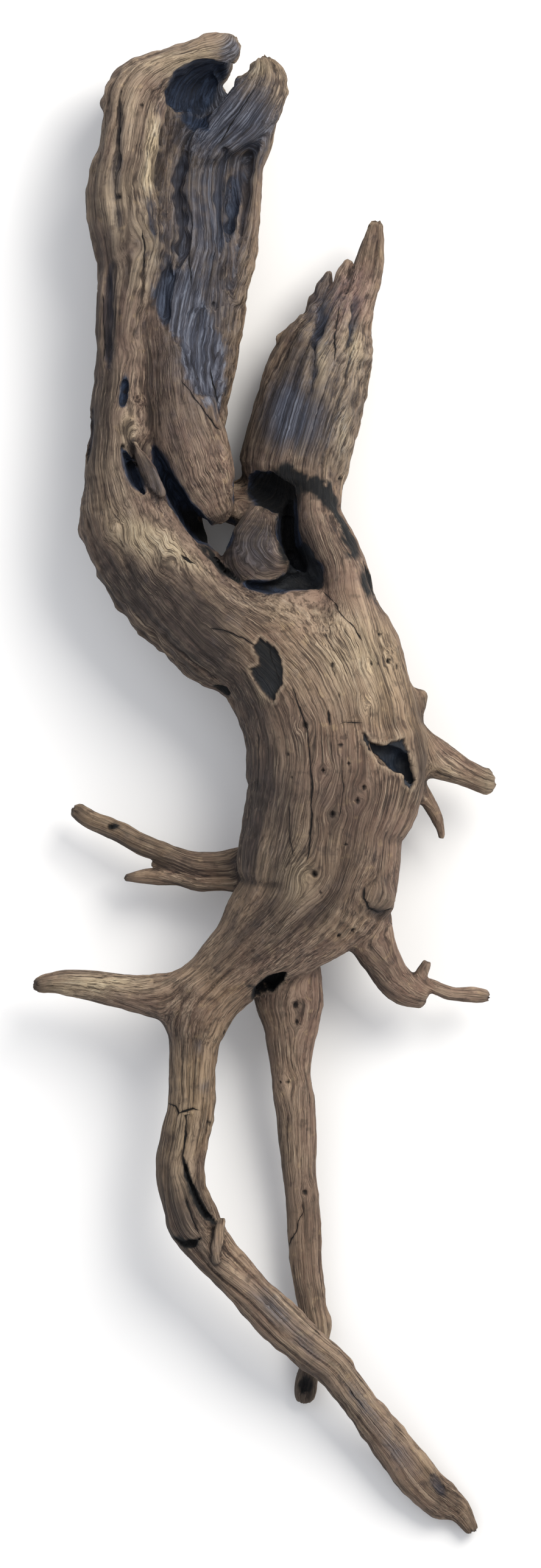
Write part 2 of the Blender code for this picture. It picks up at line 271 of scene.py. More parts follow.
# The two legs that cross, and the peg of wood in the front one's split.
LEGS = {
    "front_leg": [
        (-46, -174, 80, 28, 33), (-55, -203, 79, 23, 24), (-57, -219, 78, 21, 20), (-58, -249, 77, 20, 19),
        (-59, -271, 76, 20, 19), (-64, -295, 75, 19, 18), (-68, -318, 73, 19, 18), (-66, -340, 71, 20, 19),
        (-59, -363, 68, 22, 20), (-45, -384, 65, 20, 18), (-11, -422, 59, 17, 17), (12, -446, 55, 20, 16),
        (37, -470, 51, 18, 15), (57, -485, 48, 16, 15), (77, -513, 41, 14, 14), (92, -532, 35, 15, 14),
        (110, -555, 27, 17, 15), (123, -573, 21, 18, 16), (136, -588, 16, 17, 15), (149, -599, 13, 17, 14),
        (163, -608, 11, 12, 10), (174, -624, 10, 7, 7),
    ],
    "peg": [
        (-34, -362, 84, 4, 5), (-36, -372, 86, 5, 5), (-37, -384, 85, 5, 5), (-38.5, -396, 83, 4, 4),
    ],
    "rear_leg": [
        (20, -146, 62, 27, 28), (22, -180, 56, 29, 24), (23, -197, 53, 25, 21), (23, -211, 50, 21, 19),
        (23, -240, 46, 17, 16), (26, -269, 42, 17, 15), (28, -288, 39, 17, 15), (30, -325, 34, 15, 13),
        (33, -353, 30, 15, 13), (35, -396, 25, 14, 13), (41, -439, 19, 12, 11), (44, -455, 17, 13, 11),
        (40, -484, 13, 10, 10), (36, -500, 11, 10, 10), (35, -515, 9, 9, 10),
    ],
}

LIMBS = {**TRUNK, **LEFT_ARM, **RIGHT_ARM, **BRANCHES, **LEGS}
MIDDLE = (0.866, -5.312)  # x, y of the middle of the footprint, which the CAD puts at the origin
STEP = 6.0  # between the sections of a limb
CAP_REACH = 0.5  # length of a limb's domed end over the smaller half-size of its last section


def between(stations):
    """Stations every STEP, on the smooth curve (Catmull-Rom) through the given ones."""
    given = np.array(stations, float)
    padded = np.vstack([2 * given[0] - given[1], given, 2 * given[-1] - given[-2]])
    filled = [given[:1]]
    for before, start, end, after in zip(padded, padded[1:], padded[2:], padded[3:]):
        count = max(2, round(float(np.linalg.norm(end[:3] - start[:3])) / STEP))
        t = np.linspace(0, 1, count + 1)[1:, None]
        bend = (2 * before - 5 * start + 4 * end - after) * t**2
        twist = (3 * start - before - 3 * end + after) * t**3
        filled.append(start + 0.5 * ((end - before) * t + bend + twist))
    path = np.vstack(filled)
    path[:, 3:] = np.maximum(path[:, 3:], given[:, 3:].min())
    return path


def to_oval(x, y, z, low, high):
    """How far points are outside one short swept oval, from station low to station high.

    The nearest place t on the middle line sets the section's size. The offset from there, split
    into across, up and ahead and divided by that size, has length 1 on the skin, so the distance
    is the offset's length times (1 - 1 / that). Returns it with t, and the parts across and up.
    """
    run = high[:3] - low[:3]
    length = np.linalg.norm(run)
    ahead = run / length
    across = np.cross(ahead, (0, 0, 1))
    across /= np.linalg.norm(across)
    up = np.cross(across, ahead)
    x, y, z = x - low[0], y - low[1], z - low[2]
    t = np.clip((x * ahead[0] + y * ahead[1] + z * ahead[2]) / length, 0, 1)
    x, y, z = x - t * run[0], y - t * run[1], z - t * run[2]
    wide, tall = (low[i] + t * (high[i] - low[i]) for i in (3, 4))
    a = (x * across[0] + y * across[1] + z * across[2]) / wide
    b = (x * up[0] + y * up[1] + z * up[2]) / tall
    c = (x * ahead[0] + y * ahead[1] + z * ahead[2]) / (CAP_REACH * np.minimum(wide, tall))
    ratio = np.sqrt(a * a + b * b + c * c) + 1e-4
    return np.sqrt(x * x + y * y + z * z) * (1 - 1 / ratio), t, a, b


# ---- Hollows -----------------------------------------------------------------------------------
# Where the heart has rotted or burnt out: how softly the edge is rounded, how dark the painted shade
# inside it is (blue-black, or below 0 brown-black), and stations as for a limb, but cut away. Both ends
# of each cut run out to a point.

HOLLOWS = {
    "under_hood": (3, 1, [
        (-82, 560, 88, 6, 22), (-72, 567, 86, 14, 34), (-57, 571, 86, 20, 38), (-43, 576, 86, 19, 40),
        (-34, 580, 90, 14, 34), (-28, 584, 96, 8, 20),
    ]),
    "hood_throat": (4, 1, [
        (-72, 568, 88, 10, 26), (-62, 554, 90, 13, 24), (-53, 545, 93, 11, 18), (-47, 538, 98, 5, 10),
    ]),
    "rim_slot": (5, 0.6, [
        (-10, 524, 96, 4, 12), (-17, 505, 94, 7, 14), (-23, 485, 91, 7, 16), (-27, 466, 88, 5, 18),
        (-28, 446, 86, 3, 16),
    ]),
    "rim_fold": (6, 0.3, [
        (-30, 520, 92, 3, 9), (-36, 495, 92, 4, 11), (-37, 465, 92, 3, 12), (-34, 430, 92, 3, 10),
    ]),
    "slab_teardrop": (5, 0.6, [
        (-76, 436, 99, 2, 8), (-80, 412, 96, 5, 13), (-82, 392, 97, 5, 12), (-79, 372, 99, 3, 8),
    ]),
    "slab_fold": (5, 0.25, [
        (-66, 520, 84, 4, 10), (-70, 490, 90, 4, 12), (-66, 455, 92, 4, 12), (-70, 425, 92, 3, 10),
    ]),
    "slab_dish": (10, 0, [(-50, 395, 106, 14, 22), (-46, 350, 106, 16, 24), (-42, 312, 110, 12, 22)]),
    "ridge_groove": (8, 0, [
        (-98, 425, 118, 2, 12), (-100, 380, 118, 3, 13), (-99, 330, 119, 3, 13), (-100, 290, 118, 2, 10),
    ]),
    "ridge_fold": (6, 0.3, [
        (-116, 556, 110, 2, 6), (-119, 520, 116, 3, 8), (-122, 486, 118, 3, 8), (-118, 452, 118, 2, 6),
    ]),
    "ridge_fold_low": (6, 0.3, [(-126, 424, 112, 2, 6), (-129, 384, 112, 3, 8), (-128, 340, 112, 2, 6)]),
    "ridge_fold_right": (5, 0.35, [(-92, 500, 112, 1, 6), (-90, 470, 112, 3, 9), (-88, 440, 112, 2, 8)]),
    "ridge_eye": (2, 1, [(-112, 331, 114, 1, 6), (-114, 320, 112, 1.7, 9), (-115, 309, 114, 1, 6)]),
    "ridge_dish": (6, 0, [(-109, 298, 124, 4, 10), (-108, 288, 121, 8, 11), (-106, 280, 122, 6, 10)]),
    "edge_dish": (6, 0.3, [(-140, 306, 98, 2, 10), (-143, 284, 96, 4, 17), (-144, 262, 94, 2, 10)]),
    "shard_gap": (3, 1, [
        (-114, 272, 118, 1, 8), (-110, 259, 112, 3, 13), (-105, 247, 110, 3.5, 13), (-97, 234, 108, 2, 9),
    ]),
    "tongue_channel": (3, 1, [
        (-92, 282, 106, 2, 11), (-84, 258, 98, 5, 20), (-75, 242, 94, 7, 26), (-65, 226, 88, 8, 28),
        (-55, 211, 84, 9, 30), (-44, 198, 80, 9, 32),
    ]),
    "tongue_underside": (4, 1, [(-62, 214, 62, 8, 18), (-44, 206, 60, 10, 20), (-24, 214, 62, 8, 24)]),
    "through_hole": (3, 1, [
        (-30, 206, 130, 8, 10), (-33, 203, 112, 7, 9), (-36, 200, 60, 8, 9), (-38, 198, -30, 8, 10),
    ]),
    "gap_by_arm": (3, 1, [(-16, 262, 80, 3, 20), (-18, 240, 78, 5, 22), (-20, 226, 72, 6, 24)]),
    "arch": (3, 1, [
        (17, 258, 80, 8, 12), (12, 248, 72, 19, 18), (8, 236, 66, 25, 22), (2, 224, 60, 25, 24),
    ]),
    "deep_slot": (3, 1, [
        (24, 236, 80, 6, 26), (21, 218, 76, 8, 34), (21, 200, 78, 8, 32), (26, 186, 86, 7, 28),
        (33, 176, 94, 7, 24),
    ]),
    "fork_pool": (2, 1, [
        (-17, 163, 122, 3, 18), (-2, 160, 118, 4, 22), (14, 160, 114, 5, 22), (26, 165, 110, 9, 24),
        (38, 168, 108, 11, 24), (44, 178, 102, 7, 18),
    ]),
    "knob_left": (2, -1, [
        (-43, 191, 92, 2, 20), (-36, 179, 106, 2, 16), (-26, 169, 118, 2, 14), (-17, 163, 124, 2, 12),
    ]),
    "crotch_behind": (3, -1, [
        (20, -156, 104, 2, 20), (10, -163, 100, 6, 26), (0, -174, 96, 8, 30), (-1, -184, 88, 5, 26),
        (3, -192, 80, 3, 18),
    ]),
    "leg_split": (1, -1, [
        (-65, -312, 94, 0.8, 6), (-62, -327, 91, 1.4, 8), (-55.5, -343, 88, 1.7, 9),
        (-46, -359, 84, 1.6, 8), (-34, -367, 80, 1, 5),
    ]),
    "plank_end": (1, -1, [
        (-73, -377, 76, 2, 6), (-65, -383, 80, 2, 7), (-58, -382, 82, 2, 7), (-51, -377, 83, 1, 5),
    ]),
    "edge_hole": (3, -1, [(-42, 70, 96, 3, 5), (-34, 75, 103, 5, 7), (-28, 78, 108, 3, 5)]),
    "right_notch": (4, 0.5, [(82, 180, 92, 1, 8), (89, 163, 92, 4, 12), (93, 146, 92, 1, 8)]),
    "arm_fold": (6, 0.45, [
        (48, 404, 66, 3, 9), (47, 382, 76, 4, 9), (43, 352, 87, 3, 8), (40, 322, 92, 2, 6),
    ]),
    "arm_step": (6, 0.3, [(78, 404, 70, 2, 8), (76, 380, 76, 4, 8), (70, 352, 86, 3, 6)]),
    "patch_one": (1.5, 0, [
        (0, 112, 148, 6, 7), (4, 100, 150, 9, 8), (4, 88, 150, 10, 8), (5, 76, 148, 7, 7),
        (8, 68, 146, 3, 5),
    ]),
    "patch_two": (1.5, 0, [
        (86, 33, 135, 4, 8), (98, 21, 133, 8, 9), (110, 16, 126, 9, 10), (118, 10, 117, 6, 11),
        (121, -2, 110, 3, 8),
    ]),
    "twisted_tip": (2, 0.4, [(141, -576, 36, 3, 9), (147, -585, 33, 5, 10), (152, -594, 29, 3, 8)]),
    "rear_tip": (2, -0.9, [(38, -497, 22, 3, 3), (35, -503, 21, 5, 5), (33, -509, 18, 3, 3)]),
}


# ---- Joining the limbs -------------------------------------------------------------------------
# One growing piece: neighbouring limbs melt into each other, so the volume holds a soft minimum of
# the distances to all limbs, and the hollows are taken out by a soft maximum.

VOXEL = 1.9
LIMB_MARGIN = 12.0  # how far round a limb its distance is worked out
CUT_MARGIN = 8.0  # and how far round a hollow
RUN_OUT = 12.0  # the length over which a hollow's ends close
RUN_OUT_SHARE = 0.3  # but no more than this share of the hollow
BAND = 3 * VOXEL  # how far from the skin distances are kept
MELT_USUAL = 10.0  # width over which a limb runs into its neighbour
MELT = {  # the same, for limbs that keep more to themselves
    "tongue": 3, "shard": 1, "hood": 5, "hood_tip": 3, "hood_back": 4, "prong": 6, "right_rim": 5,
    "pink_blade": 2, "dark_blade": 2, "spur": 3, "fork_web": 8, "knob": 2, "horn": 3, "splinter": 1.5,
    "nub": 3, "twig": 3, "front_leg": 9, "peg": 1, "rear_leg": 5,
}

PATHS = {name: between(stations) for name, stations in LIMBS.items()}

# The volume's box holds all the limbs with a margin, and reaches just below the floor.
stations = np.vstack(list(PATHS.values()))
sizes = stations[:, 3:].max(1, keepdims=True)
low_corner = (stations[:, :3] - sizes).min(0)
high_corner = (stations[:, :3] + sizes).max(0)
low_corner[2] = -2 * BAND
low_corner[:2] -= 2 * BAND
cells = np.ceil((high_corner + 2 * BAND - low_corner) / VOXEL).astype(int)
LINES = [(low_corner[k] + VOXEL * np.arange(cells[k])).astype(np.float32) for k in range(3)]


def window(stations, margin):
    """The index ranges of the volume that hold some stations, with a margin."""
    reach = stations[:, 3:].max() + margin
    first = np.clip(np.floor((stations[:, :3].min(0) - reach - low_corner) / VOXEL).astype(int), 0, cells)
    last = np.clip(np.ceil((stations[:, :3].max(0) + reach - low_corner) / VOXEL).astype(int), 0, cells)
    return tuple(slice(a, b) for a, b in zip(first, last))


def swept(path, margin):
    """The distance to a whole limb in the smallest box around it, and that box's index ranges."""
    spots = window(path, margin)
    near = np.full([s.stop - s.start for s in spots], 2 * margin, np.float32)
    for low, high in zip(path, path[1:]):
        part = window(np.array([low, high]), margin)
        inner = tuple(slice(p.start - s.start, p.stop - s.start) for p, s in zip(part, spots))
        x, y, z = (line[p] for line, p in zip(LINES, part))
        gap = to_oval(x[:, None, None], y[None, :, None], z[None, None, :], low, high)[0]
        near[inner] = np.minimum(near[inner], gap)
    return near, spots


def melted(one, other, width):
    """Soft minimum: the smaller, less a smooth bump of width / 4 where they are equal."""
    close = np.maximum(width - np.abs(one - other), 0) / width
    return np.minimum(one, other) - close * close * width / 4


def run_out(stations):
    """The stations of a hollow, drawn in like a round nose over RUN_OUT before each end, or over
    its share of a short one: the sizes fall as the square root of the distance to the end."""
    path = between(stations)
    along = np.concatenate([[0], np.cumsum(np.linalg.norm(np.diff(path[:, :3], axis=0), axis=1))])
    reach = min(RUN_OUT, RUN_OUT_SHARE * along[-1])
    path[:, 3:] *= np.sqrt(np.clip(np.minimum(along, along[-1] - along) / reach, 0.1, 1))[:, None]
    return path


volume = np.full(cells, LIMB_MARGIN, np.float32)
for name, path in PATHS.items():
    near, spots = swept(path, LIMB_MARGIN)
    volume[spots] = melted(volume[spots], near, MELT.get(name, MELT_USUAL))
for softness, darkness, stations in HOLLOWS.values():
    near, spots = swept(run_out(stations), CUT_MARGIN)
    volume[spots] = -melted(-volume[spots], near, softness)
volume = np.maximum(volume, -LINES[2][None, None, :])  # it lies on the floor, so nothing is below 0

grid = openvdb.FloatGrid(BAND)
grid.copyFromArray(np.clip(volume, -BAND, BAND))
points, quads = grid.convertToQuads(0.0)
points = points.astype(float) * VOXEL + low_corner

if np.einsum("ij,ij->i", points[quads[:, 0]], np.cross(points[quads[:, 1]], points[quads[:, 2]])).sum() < 0:
    quads = quads[:, ::-1]  # the faces have to point outwards


# ---- Grain -------------------------------------------------------------------------------------
# The fibres run along each limb, sweep from one limb into the next, and part round knots. Every
# point of the skin gets its place in the wood: how far across, up and along the fibres it is.

def noise(place, seed=0):
    """Smooth random numbers from -1 to 1: each unit cell's corners hold hashed values, and a
    point takes their mean, weighted by 3t^2 - 2t^3 of its place t in the cell along each axis."""
    cell = np.floor(place)
    t = place - cell
    t = t * t * (3 - 2 * t)
    cell = cell.astype(np.int64)
    total = np.zeros(len(place))
    for corner in range(8):
        step = [(corner >> k) & 1 for k in range(3)]
        key = sum((cell[:, k] + step[k]) * big for k, big in enumerate((374761393, 668265263, 2147483029)))
        key = (key + seed * 974634777) & 0xFFFFFFFF
        key = ((key ^ (key >> 13)) * 1274126177) & 0xFFFFFFFF
        key = ((key ^ (key >> 16)) * 2246822519) & 0xFFFFFFFF
        weight = np.prod([t[:, k] if step[k] else 1 - t[:, k] for k in range(3)], axis=0)
        total += weight * ((key >> 8) / 0xFFFFFF * 2 - 1)
    return total


def layered(place, layers=3, seed=0):
    """Noise at each doubled fineness, each layer half as strong."""
    return sum(noise(place * 2**k, seed + k) / 2**k for k in range(layers)) / 1.5


def unit(vectors):
    """The vectors, each divided by its length."""
    return vectors / np.maximum(np.linalg.norm(vectors, axis=1, keepdims=True), 1e-9)


edges = np.vstack([quads[:, [0, 1]], quads[:, [1, 2]], quads[:, [2, 3]], quads[:, [3, 0]]]).astype(np.int64)
edges = np.unique(np.sort(edges, axis=1), axis=0)
FROM = np.concatenate([edges[:, 0], edges[:, 1]])
TO = np.concatenate([edges[:, 1], edges[:, 0]])
COUNT = len(points)
NEIGHBOURS = np.bincount(FROM, minlength=COUNT)


def neighbour_mean(values):
    """Each point's mean over its neighbours, for a list of numbers or of vectors."""
    if values.ndim == 1:
        return np.bincount(FROM, values[TO], COUNT) / NEIGHBOURS
    return np.stack([neighbour_mean(values[:, k]) for k in range(values.shape[1])], axis=1)


def blurred(values, rounds):
    """The values after each has gone halfway to its neighbours' mean, that many times over."""
    for _ in range(rounds):
        values = 0.5 * values + 0.5 * neighbour_mean(values)
    return values


def normals_of(shape):
    """Each point's outward direction: the sum of its faces' normals, by their size."""
    face = np.cross(shape[quads[:, 2]] - shape[quads[:, 0]], shape[quads[:, 3]] - shape[quads[:, 1]])
    total = [sum(np.bincount(quads[:, c], face[:, k], COUNT) for c in range(4)) for k in range(3)]
    return unit(np.stack(total, axis=1))


FAR = 1e9  # further than anything
NEAR = 14.0  # how far from a limb a point still takes its grain
SHARE = 4.0  # how fast a limb's share falls with distance


def around(path, margin):
    """The numbers of the skin's points in the box round a path, its sizes and a margin."""
    reach = path[:, 3:].max() + margin
    low, high = path[:, :3].min(0) - reach, path[:, :3].max(0) + reach
    return np.flatnonzero(np.all((points > low) & (points < high), axis=1))


def chart(path, where):
    """For points near a limb: its distance, the grain direction, and the place across, up, along.

    Each point takes the short oval it is nearest to. Across and up are stretched to the limb's
    mean size, so that the fibres draw together where the limb narrows."""
    along = np.concatenate([[0], np.cumsum(np.linalg.norm(np.diff(path[:, :3], axis=0), axis=1))])
    wide, tall = path[:, 3].mean(), path[:, 4].mean()
    reach = path[:, 3:].max(1) + NEAR
    best = np.full(len(where), FAR)
    heading = np.zeros((len(where), 3))
    place = np.zeros((len(where), 3))
    for i, (low, high) in enumerate(zip(path, path[1:])):
        near = np.flatnonzero(np.all(np.abs(where - (low + high)[:3] / 2) < reach[i] + STEP, axis=1))
        gap, t, a, b = to_oval(*where[near].T, low, high)
        better = gap < best[near]
        near, gap, t, a, b = near[better], gap[better], t[better], a[better], b[better]
        best[near] = gap
        heading[near] = (high - low)[:3] / np.linalg.norm((high - low)[:3])
        place[near] = np.stack([a * wide, b * tall, along[i] + t * (along[i + 1] - along[i])], axis=1)
    return best, heading, place


share = np.zeros(COUNT)
heading, place = np.zeros((COUNT, 3)), np.zeros((COUNT, 3))
laid = []  # the limbs so far, with where each one's own places start
for name, path in PATHS.items():
    start, sense = np.zeros(3), 1.0
    if laid:  # it grows out of an earlier limb, and takes on its places there
        roots = []
        for end in (0, -1):
            for other, base, turn in laid:
                gap, ahead, there = chart(other, path[end : end + 1 or None, :3])
                roots.append((gap[0], end, ahead[0], base + turn * there[0]))
        gap, end, ahead, there = min(roots, key=lambda root: root[0])
        own = path[1 if end == 0 else -1, :3] - path[0 if end == 0 else -2, :3]
        sense = 1.0 if own @ ahead >= 0 else -1.0
        length = np.linalg.norm(np.diff(path[:, :3], axis=0), axis=1).sum()
        start = there - sense * np.array([0, 0, 0 if end == 0 else length])
    turn = np.array([sense, 1.0, sense])
    laid.append((path, start, turn))
    some = around(path, NEAR)
    gap, ahead, there = chart(path, points[some])
    part = np.where(gap < FAR, np.exp(-np.clip(gap, -20, 60) / SHARE), 0)
    share[some] += part
    heading[some] += part[:, None] * sense * ahead
    place[some] += part[:, None] * (start + turn * there)
place /= np.maximum(share, 1e-12)[:, None]
heading = unit(heading)

# Where the fibres sweep another way than the limbs, on the upper side: lines that they follow, each
# with the width that it holds sway over.
SWEEPS = [
    (16, [
        (-122, 216), (-108, 176), (-78, 140), (-46, 112), (-20, 92), (-4, 56), (0, 8), (-2, -60),
        (-16, -120),
    ]),
    (14, [(-78, 218), (-52, 178), (-18, 152), (26, 132), (62, 106), (80, 60), (84, 10), (80, -60)]),
    (12, [(-60, 196), (-30, 168), (0, 153), (36, 149), (62, 138), (84, 108), (98, 70), (104, 30)]),
    (12, [
        (-96, 190), (-60, 150), (-20, 116), (16, 100), (34, 70), (40, 30), (38, -30), (26, -90),
        (0, -130),
    ]),
    (12, [(92, 250), (90, 200), (92, 160), (98, 120), (112, 80), (118, 40)]),
    (7, [(-4, 224), (-14, 206), (-21, 188), (-16, 173), (0, 166), (20, 170)]),
    (6, [(6, 218), (0, 204), (-4, 190), (2, 180), (16, 180), (26, 186)]),
    (14, [(60, -90), (34, -112), (4, -138), (-22, -160), (-46, -178), (-60, -205), (-60, -250)]),
    (12, [(20, -90), (0, -110), (-30, -135), (-60, -158), (-110, -168), (-170, -166)]),
]
for width, line in SWEEPS:
    line = np.array(line, float)
    pull, lead = np.zeros(COUNT), np.zeros((COUNT, 2))
    for low, high in zip(line, line[1:]):
        run = high - low
        t = np.clip((points[:, :2] - low) @ run / (run @ run), 0, 1)
        off = np.linalg.norm(points[:, :2] - low - t[:, None] * run, axis=1)
        part = np.exp(-((off / width) ** 2))
        pull += part
        lead += part[:, None] * run / np.linalg.norm(run)
    pull = np.minimum(pull, 1) * np.clip(points[:, 2] / 60 - 0.6, 0, 1)
    lead = np.hstack([unit(lead), np.zeros((COUNT, 1))])
    heading = unit(heading * (1 - pull[:, None]) + lead * pull[:, None])
heading = unit(blurred(heading, 40))

# The fibres lie in the skin, except at broken ends, where they run out of it.
outward = unit(blurred(normals_of(points), 16))
slope = np.einsum("ij,ij->i", heading, outward)
skin_bound = np.clip(4 - 4.4 * np.abs(slope), 0, 1)
flat = heading - outward * (slope * skin_bound)[:, None]
heading = unit(blurred(unit(flat), 8))

# The places are then eased until they grow at one millimetre per millimetre across, up and along
# the fibres: the weighted sum over every edge of (the step in place - the step that the fibres ask
# for)^2 is made small by conjugate gradients, which start from the limbs' own places. Edges that
# run with the fibres weigh most for across and up, so those two hold steady along each fibre.
CROSS_WEIGHT = 0.04  # what an edge square to the fibres weighs, against 1 along them
ROUNDS = (200, 120, 60)  # of easing, for across, up and along
upright = np.array([0.0, 0.0, 1.0])
across = unit(np.cross(heading, upright))
axes = (across, np.cross(across, heading), heading)
stride = points[TO] - points[FROM]
with_grain = np.einsum("ij,ij->i", unit(stride), unit(heading[TO] + heading[FROM])) ** 2
for k, (axis, rounds) in enumerate(zip(axes, ROUNDS)):
    pull = CROSS_WEIGHT + with_grain**3 if k < 2 else np.ones(len(FROM))
    rise = np.bincount(FROM, pull * np.einsum("ij,ij->i", stride, (axis[TO] + axis[FROM]) / 2), COUNT)
    hold = np.bincount(FROM, pull, COUNT)
    value = place[:, k]
    left = np.bincount(FROM, pull * value[TO], COUNT) - hold * value - rise
    step = left / hold
    size = left @ step
    for _ in range(rounds):
        drag = hold * step - np.bincount(FROM, pull * step[TO], COUNT)
        far = size / (step @ drag)
        value = value + far * step
        left = left - far * drag
        size, before = left @ (left / hold), size
        step = left / hold + size / before * step
    place[:, k] = value
normal = normals_of(points)
front = np.clip(normal[:, 2] * 2.5, 0, 1)  # 1 on what faces up, falling to 0 down the sides


def spot(x, y, width, length=None, turn=0.0):
    """A soft round or oval spot on plan: 1 in the middle, a bell curve's fall outwards."""
    c, s = np.cos(np.radians(turn)), np.sin(np.radians(turn))
    dx, dy = points[:, 0] - x, points[:, 1] - y
    u, v = (dx * c + dy * s) / width, (dy * c - dx * s) / (length or width)
    return np.exp(-(u * u + v * v))


def spread(table):
    """Soft spots added up, each given as for spot, with its amount at the end."""
    return sum(amount * spot(*where) for *where, amount in table)


# Knots that the grain parts round: x, y, size.
KNOTS = [
    (85, 65, 4), (84, 57, 4), (-76, 178, 7), (-121, 208, 7), (88, 94, 5), (102, 98, 5), (28, -200, 5),
    (95, -95, 16), (20, -250, 7), (35, -342, 5), (57, -28, 7), (77, -17, 6), (49, 8, 5), (34, 45, 6),
    (83, -6, 6), (-62, -320, 6), (40, -80, 12), (-110, 300, 9), (-108, 440, 8), (27, -186, 6),
    (-118, 350, 7),
]
for x, y, size in KNOTS:
    off = (points[:, 0] - x) * across[:, 0] + (points[:, 1] - y) * across[:, 1]
    place[:, 0] -= 0.85 * off * spot(x, y, size * 1.5) * front

# Where the fibres wander from side to side more than the usual 0.45: x, y, sizes, how much more.
WAVES = [
    (-100, 196, 24, 17, 2.6), (-40, 215, 18, 22, 1.4), (-60, 150, 50, 34, 1.1), (-6, 186, 26, 26, 2.6),
    (40, 120, 60, 30, 0.7),
]
wavy = 0.45 + spread(WAVES) * front
place[:, 0] += wavy * noise(place / (26, 26, 11), 5) + 1.5 * noise(place / (60, 60, 45), 6)


# ---- Weathering --------------------------------------------------------------------------------
# Years of water and sun: the soft wood between the fibres is worn back, the surface has split
# along the grain and is pitted by insects, and some places are burnt or sealed with black pitch.
# Shade is painted here too: in the hollows, splits and pits, on faces turned from the light, and in
# the low places of the relief.

def from_line(line):
    """The distance on plan to a broken line: the smallest to any of its straight stretches."""
    best = np.full(COUNT, FAR)
    line = np.array(line, float)
    for low, high in zip(line, line[1:]):
        run = high - low
        t = np.clip((points[:, :2] - low) @ run / (run @ run), 0, 1)
        best = np.minimum(best, np.hypot(*(points[:, :2] - low - t[:, None] * run).T))
    return best


def inside(outline):
    """How far points are inside an outline on plan: above 0 inside, below 0 outside. A point is
    inside when a line drawn from it to the right crosses the outline an odd number of times."""
    corners = np.array(outline, float)
    gap = from_line(np.vstack([corners, corners[:1]]))
    within = np.zeros(COUNT, bool)
    for (x1, y1), (x2, y2) in zip(corners, np.roll(corners, -1, axis=0)):
        spans = (points[:, 1] < y1) != (points[:, 1] < y2)
        within ^= spans & (points[:, 0] < x1 + (points[:, 1] - y1) * (x2 - x1) / (y2 - y1 or 1e-9))
    return np.where(within, gap, -gap)


def smooth_step(low, high, values):
    """0 below low and 1 above high, and between them 3t^2 - 2t^3 of the part t of the way."""
    t = np.clip((values - low) / (high - low), 0, 1)
    return t * t * (3 - 2 * t)


ragged = 1.2 * noise(points / 4.0, 30) + 0.8 * noise(points / 1.8, 31)

# Splits: half-width, line.
CRACKS = [
    (0.5, [(-43, 125.5), (-28, 122), (-16, 116.5), (-7, 110)]),
    (0.8, [(-66, -272), (-63, -280), (-65, -298), (-66, -312), (-63, -326)]),
    (0.6, [
        (24.5, 77), (29, 62), (33, 52), (34.5, 45), (36.5, 38), (38, 24), (38, 13), (40, 0), (39.5, -17),
        (39.5, -38), (36, -66),
    ]),
    (0.5, [(49.5, 155), (59, 145), (63.5, 137), (73, 127.5), (81, 114.5)]),
    (0.9, [(54, 58), (54.5, 45)]),
    (0.4, [(63, 47), (72, 48), (81, 47.5)]),
    (2.0, [(34.5, 48), (34, 41)]),
    (2.0, [(-67, 186), (-61, 182), (-56, 178)]),
    (0.5, [(-8, 570), (-22, 548), (-36, 525)]),
    (0.6, [(-67, 329), (-54, 312), (-44, 300), (-35, 289)]),
    (0.8, [(-80, -266), (-74, -268), (-71, -274), (-66, -273), (-58, -271), (-52, -272)]),
    (0.6, [(-64, -343), (-58, -362), (-53, -374)]),
    (0.5, [(33, -350), (33, -360), (29, -364), (28, -375), (23, -381), (20, -390)]),
    (0.45, [(4, 112), (6, 100), (10, 90), (13, 80)]),
    (0.5, [(-117, 540), (-116, 520), (-118, 500)]),
    (0.5, [(-99, 452), (-97, 436), (-98, 420)]),
    (0.5, [(58, 345), (60, 372), (63, 392)]),
    (0.6, [(-60, 470), (-62, 440), (-59, 410)]),
    (0.5, [(-43, 340), (-40, 322), (-36, 312)]),
    (0.7, [(83, -88), (82, -97), (87, -105), (96, -109), (105, -104)]),
    (0.3, [(22, -20), (21, -40), (24, -62)]),
    (0.3, [(64, 20), (66, -5), (63, -30)]),
    (0.3, [(-4, 40), (-3, 16), (-5, -10)]),
    (0.3, [(-20, -188), (-30, -204), (-36, -226)]),
    (0.3, [(-66, -216), (-68, -240), (-67, -262)]),
    (0.4, [(104, -116), (110, -122), (118, -128)]),
    (0.4, [(66, -497), (74, -508), (84, -520)]),
    (0.4, [(-132, 400), (-130, 370), (-131, 345)]),
]

# Insect holes and knot holes: x, y, size.
PITS = [
    (103.5, 98.5, 1.9), (88.5, 95.5, 1.0), (94.5, 96.5, 1.0), (63.5, 29, 1.7), (49.5, 8.5, 1.6),
    (83, -5.5, 2.0), (77.5, -16.5, 2.2), (57, -27.5, 2.6), (34.5, 45.5, 2.4), (74, -124, 1.6),
    (62.5, -128, 1.5), (27, -186, 2.8), (20, -250, 1.8), (14, -250, 1.1), (28, -200, 1.8), (68, -52, 1.2),
    (48, -92, 1.4), (24, 2, 1.0), (70, 14, 1.2), (35, -342, 2.2), (-40, 393, 2.2), (-126, -38, 3.0),
    (42, -77, 3.0), (-108.7, 259.7, 3.4), (-114, 274, 2.6), (-118, 480, 2.0), (-100, 555, 1.8),
    (110, 93, 1.2), (-44, -283, 1.8), (57, 95, 1.6), (20, 22, 1.4), (62, 70, 1.4), (96, 120, 1.6),
    (64, 250, 1.8),
]
